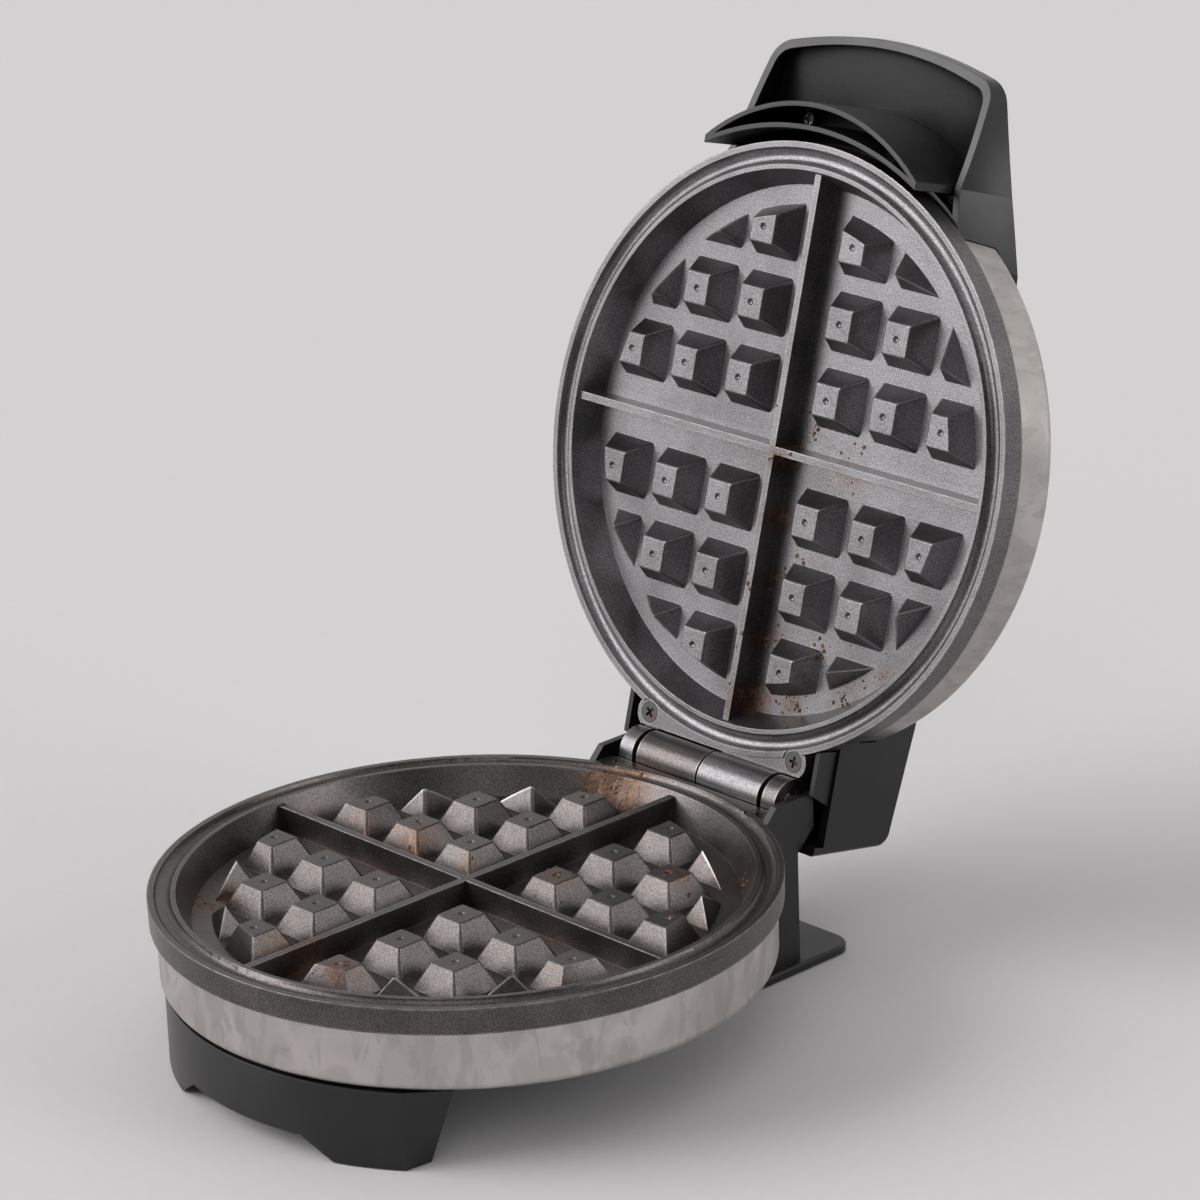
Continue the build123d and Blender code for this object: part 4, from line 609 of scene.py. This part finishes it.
def scatter_residue(name, node, body, spots, upper, seed):
    """Flakes of residue, set on the surface of a grid where its spots are."""
    rng = random.Random(seed)
    tree = surface_of(node)
    turn = Matrix.Rotation(math.radians(-OPEN_DEG), 3, "X")
    mesh = bmesh.new()
    placed = 0
    for _ in range(sizes().flakes * TRIES_PER_FLAKE):
        if placed >= sizes().flakes:
            break
        x_mm, y_mm, reach, strength = rng.choice(spots)
        if rng.random() > strength:
            continue
        far = abs(rng.gauss(0, 0.5)) * reach
        angle = rng.uniform(0, math.tau)
        x = (x_mm + far * math.cos(angle)) * MM
        y = (y_mm + far * math.sin(angle)) * MM + GRID_CENTRE_Y
        if upper:
            start = Vector((x, y, PARTING_Z - DROP_FROM))
            start = HINGE + turn @ (start - HINGE)
            way = turn @ Vector((0, 0, 1))
        else:
            start = Vector((x, y, PARTING_Z + DROP_FROM))
            way = Vector((0, 0, -1))
        point, normal, _, _ = tree.ray_cast(start, way, DROP_REACH)
        if point is None:
            continue
        if normal.dot(way) > 0:
            normal = -normal
        if (point - start).length < HIGH_GROUND and rng.random() < HIGH_GROUND_BARE:
            continue
        big = rng.random() ** 3
        radius = sizes().flake_size * (0.16 + 0.84 * big)
        height = min(0.30 * MM, radius * rng.uniform(0.22, 0.42))
        flake(mesh, point, normal, radius, height, rng)
        placed += 1
    data = bpy.data.meshes.new(name)
    mesh.normal_update()
    mesh.to_mesh(data)
    mesh.free()
    piece = bpy.data.objects.new(name, data)
    bpy.context.scene.collection.objects.link(piece)
    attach(piece, body)
    return piece


class WAFFLE_OT_grids(bpy.types.Operator):
    """Coat both grids and bake residue on to them"""
    bl_idname = "waffle.grids"
    bl_label = "Grids"

    def execute(self, context):
        dress(coated_casting("coating_lower", False, LOWER_SPOTS), "lower_grid")
        dress(coated_casting("coating_upper", True, UPPER_SPOTS), "upper_grid")
        crumbs = baked_residue("baked_residue")
        for name, node, body, spots, upper, seed in (
                ("lower_residue", "lower_grid", "base", LOWER_SPOTS, False, 11),
                ("upper_residue", "upper_grid", "lid", UPPER_SPOTS, True, 23)):
            piece = scatter_residue(name, node, body, spots, upper, seed)
            piece.data.materials.append(crumbs)
        return {"FINISHED"}


class WAFFLE_OT_shells(bpy.types.Operator):
    """Brush both steel shells"""
    bl_idname = "waffle.shells"
    bl_label = "Shells"

    def execute(self, context):
        dress(brushed_steel("steel_lower", False), "lower_shell")
        dress(brushed_steel("steel_upper", True), "upper_shell")
        return {"FINISHED"}


class WAFFLE_OT_plastics(bpy.types.Operator):
    """Finish the black mouldings"""
    bl_idname = "waffle.plastics"
    bl_label = "Mouldings"

    def execute(self, context):
        black = tuple(colours().plastic)
        dress(moulded_plastic("hood_plastic", black, 0.30, 0.5 * MM, 0.006 * MM, 0.10),
              "handle_hood", "handle_guard")
        dress(moulded_plastic("foot_plastic", black, 0.36, 0.6 * MM, 0.010 * MM, 0.30),
              "front_foot", "rear_foot_plate", "bottom_cover")
        dress(moulded_plastic("hinge_plastic", black, 0.40, 0.6 * MM, 0.012 * MM, 0.22),
              "hinge_column", "lid_rear_housing", "cord_bush")
        return {"FINISHED"}


class WAFFLE_OT_metalwork(bpy.types.Operator):
    """Finish the pin, clips, screws, bolt and stud"""
    bl_idname = "waffle.metalwork"
    bl_label = "Metalwork"

    def execute(self, context):
        dress(plated_steel("pin_steel", (0.42, 0.40, 0.38), 0.34, 0.3),
              "hinge_pin", "hinge_pin_clips")
        dress(plated_steel("dark_screws", (0.105, 0.10, 0.10), 0.40, 0.75),
              "lower_flange_screws", "upper_flange_screws")
        dress(plated_steel("zinc_steel", (0.50, 0.49, 0.46), 0.36, 0.2),
              "centre_bolt", "centre_spacer", "front_foot_screws", "column_screws",
              "rear_foot_screws", "upper_stud", "upper_stud_nut", "handle_screws",
              "guard_screws")
        return {"FINISHED"}


class WAFFLE_OT_heating(bpy.types.Operator):
    """Finish the heating rings, sheets, switches, blocks and leads"""
    bl_idname = "waffle.heating"
    bl_label = "Heating"

    def execute(self, context):
        dress(heater_sheath("heater_sheath"), "lower_element", "upper_element")
        dress(reflector_sheet("reflector_sheet"), "lower_reflector", "upper_reflector",
              "lower_element_clips", "upper_element_clips", "thermostat")
        dress(pale_insulator("pale_insulator"), "terminal_block", "junction_block",
              "lamp_holder", "thermal_fuse")
        dress(lead_sleeve("lead_sleeve"), "base_wires", "lid_wires")
        return {"FINISHED"}


class WAFFLE_OT_trim(bpy.types.Operator):
    """Finish the lenses and the rubber feet"""
    bl_idname = "waffle.trim"
    bl_label = "Lenses and feet"

    def execute(self, context):
        dress(lens_plastic("red_lens", (0.55, 0.03, 0.02)), "power_lens")
        dress(lens_plastic("green_lens", (0.03, 0.42, 0.08)), "ready_lens")
        dress(pad_rubber("pad_rubber"), "front_foot_pads", "rear_foot_pads")
        return {"FINISHED"}


def paper_floor():
    """A wide sheet of pale paper under the object, with painted shade on the camera's side that
    only rays other than the camera's see.
    """
    mesh = bmesh.new()
    grid = []
    for row in range(FLOOR_STEPS + 1):
        y = -FLOOR_HALF + 2 * FLOOR_HALF * row / FLOOR_STEPS
        grid.append([mesh.verts.new((-FLOOR_HALF + 2 * FLOOR_HALF * column / FLOOR_STEPS, y, 0))
                     for column in range(FLOOR_STEPS + 1)])
    for row in range(FLOOR_STEPS):
        for column in range(FLOOR_STEPS):
            mesh.faces.new((grid[row][column], grid[row][column + 1],
                            grid[row + 1][column + 1], grid[row + 1][column]))
    data = bpy.data.meshes.new("paper_floor")
    mesh.to_mesh(data)
    mesh.free()
    floor = bpy.data.objects.new("paper_floor", data)
    bpy.context.scene.collection.objects.link(floor)
    finish = Finish("paper")
    fibre = finish.noise(finish.place, 4 * MM, 4.0)
    tone = tuple(studio().floor)
    colour = finish.mix(finish.range(fibre, 0.3, 0.7), shade(tone, 0.985), tone)
    # Painted shade: towards the camera's side the floor is darker for every ray but the camera's
    ahead = finish.vector("DOT_PRODUCT", finish.place, tuple(toward(*ACROSS_ROOM)))
    painted_shade_for_bounces = finish.mix(finish.range(ahead, *FLOOR_FADE), shade(tone, DARK_SIDE), colour)
    path = finish.new("ShaderNodeLightPath")
    colour = finish.mix(path.outputs["Is Camera Ray"], painted_shade_for_bounces, colour)
    finish.set(Base_Color=colour, Roughness=0.9, Specular_IOR_Level=0.1,
               Normal=finish.bump(fibre, 0.02 * MM, 0.3))
    data.materials.append(finish.material)


def toward(right, ahead, up):
    """A direction seen from the camera: to its right, ahead of it and up."""
    angle = studio().azimuth
    return Vector((right * math.cos(angle) - ahead * math.sin(angle),
                   right * math.sin(angle) + ahead * math.cos(angle), up)).normalized()


def sky():
    """Even light, dark on the camera's side, with soft boxes of light where SOFT_BOXES says."""
    world = bpy.data.worlds.new("studio_air")
    bpy.context.scene.world = world
    world.use_nodes = True
    nodes = Nodes(world.node_tree)
    way = nodes.new("ShaderNodeTexCoord").outputs["Generated"]
    glow = nodes.range(nodes.split(way)[2], -0.1, 0.9, 1.0, 0.7, False)
    facing = nodes.vector("DOT_PRODUCT", way, tuple(toward(*ACROSS_ROOM)))
    glow = nodes.math("MULTIPLY", glow, nodes.range(facing, -0.75, -0.05, DARK_SIDE, 1.0))
    light = nodes.math("MULTIPLY", glow, studio().sky_strength)
    for right, ahead, up, inner, outer, strength in SOFT_BOXES:
        facing = nodes.vector("DOT_PRODUCT", way, tuple(toward(right, ahead, up)))
        box = nodes.range(facing, math.cos(math.radians(outer)), math.cos(math.radians(inner)),
                          0.0, strength)
        light = nodes.math("ADD", light, box)
    lit = nodes.new("ShaderNodeBackground")
    nodes.put(lit.inputs["Color"], LIGHT_TINT)
    nodes.put(lit.inputs["Strength"], light)
    seen = nodes.new("ShaderNodeBackground")
    nodes.put(seen.inputs["Color"], BACKDROP)
    path = nodes.new("ShaderNodeLightPath")
    mix = nodes.new("ShaderNodeMixShader")
    nodes.put(mix.inputs[0], path.outputs["Is Camera Ray"])
    nodes.put(mix.inputs[1], lit.outputs[0])
    nodes.put(mix.inputs[2], seen.outputs[0])
    nodes.put(nodes.new("ShaderNodeOutputWorld").inputs["Surface"], mix.outputs[0])


def camera():
    """The camera at the photograph's viewing angle."""
    view = studio()
    ce, se = math.cos(view.elevation), math.sin(view.elevation)
    back = Vector((math.sin(view.azimuth) * ce, -math.cos(view.azimuth) * ce, se))
    right = Vector((0, 0, 1)).cross(back).normalized()
    up = back.cross(right)
    cr, sr = math.cos(view.roll), math.sin(view.roll)
    right, up = cr * right + sr * up, -sr * right + cr * up
    middle = Vector((0, GRID_CENTRE_Y, PARTING_Z - 1.0 * MM))
    place = middle + back * view.distance + right * view.slide_right + up * view.slide_up
    data = bpy.data.cameras.new("photo_view")
    data.lens = view.lens
    data.sensor_width = FRAME_WIDTH
    data.clip_start = 0.05
    data.clip_end = 30.0
    eye = bpy.data.objects.new("photo_view", data)
    eye.matrix_world = Matrix((
        (right.x, up.x, back.x, place.x), (right.y, up.y, back.y, place.y),
        (right.z, up.z, back.z, place.z), (0, 0, 0, 1)))
    bpy.context.scene.collection.objects.link(eye)
    bpy.context.scene.camera = eye


class WAFFLE_OT_stage(bpy.types.Operator):
    """Lay the floor, light the room and set the camera"""
    bl_idname = "waffle.stage"
    bl_label = "Studio"

    def execute(self, context):
        bpy.context.scene.view_settings.view_transform = "Standard"
        paper_floor()
        sky()
        camera()
        return {"FINISHED"}


class WAFFLE_PT_panel(bpy.types.Panel):
    """Buttons for each group of pieces"""
    bl_idname = "WAFFLE_PT_panel"
    bl_label = "Waffle maker"
    bl_space_type = "VIEW_3D"
    bl_region_type = "UI"
    bl_category = "Waffle"

    def draw(self, context):
        for group in (context.scene.waffle_sizes, context.scene.waffle_colours,
                      context.scene.waffle_studio):
            box = self.layout.box()
            for key in group.bl_rna.properties.keys():
                if key not in ("rna_type", "name"):
                    box.prop(group, key)
        for step in STEPS:
            self.layout.operator(step.bl_idname)


STEPS = (WAFFLE_OT_stage, WAFFLE_OT_grids, WAFFLE_OT_shells, WAFFLE_OT_plastics,
         WAFFLE_OT_metalwork, WAFFLE_OT_heating, WAFFLE_OT_trim)
CLASSES = (WaffleSizes, WaffleColours, WaffleStudio, *STEPS, WAFFLE_PT_panel)


def register():
    for cls in CLASSES:
        bpy.utils.register_class(cls)
    bpy.types.Scene.waffle_sizes = PointerProperty(type=WaffleSizes)
    bpy.types.Scene.waffle_colours = PointerProperty(type=WaffleColours)
    bpy.types.Scene.waffle_studio = PointerProperty(type=WaffleStudio)


def unregister():
    del bpy.types.Scene.waffle_studio
    del bpy.types.Scene.waffle_colours
    del bpy.types.Scene.waffle_sizes
    for cls in reversed(CLASSES):
        bpy.utils.unregister_class(cls)


def main():
    register()
    for step in STEPS:
        group, call = step.bl_idname.split(".")
        getattr(getattr(bpy.ops, group), call)()


if __name__ == "__main__":
    main()
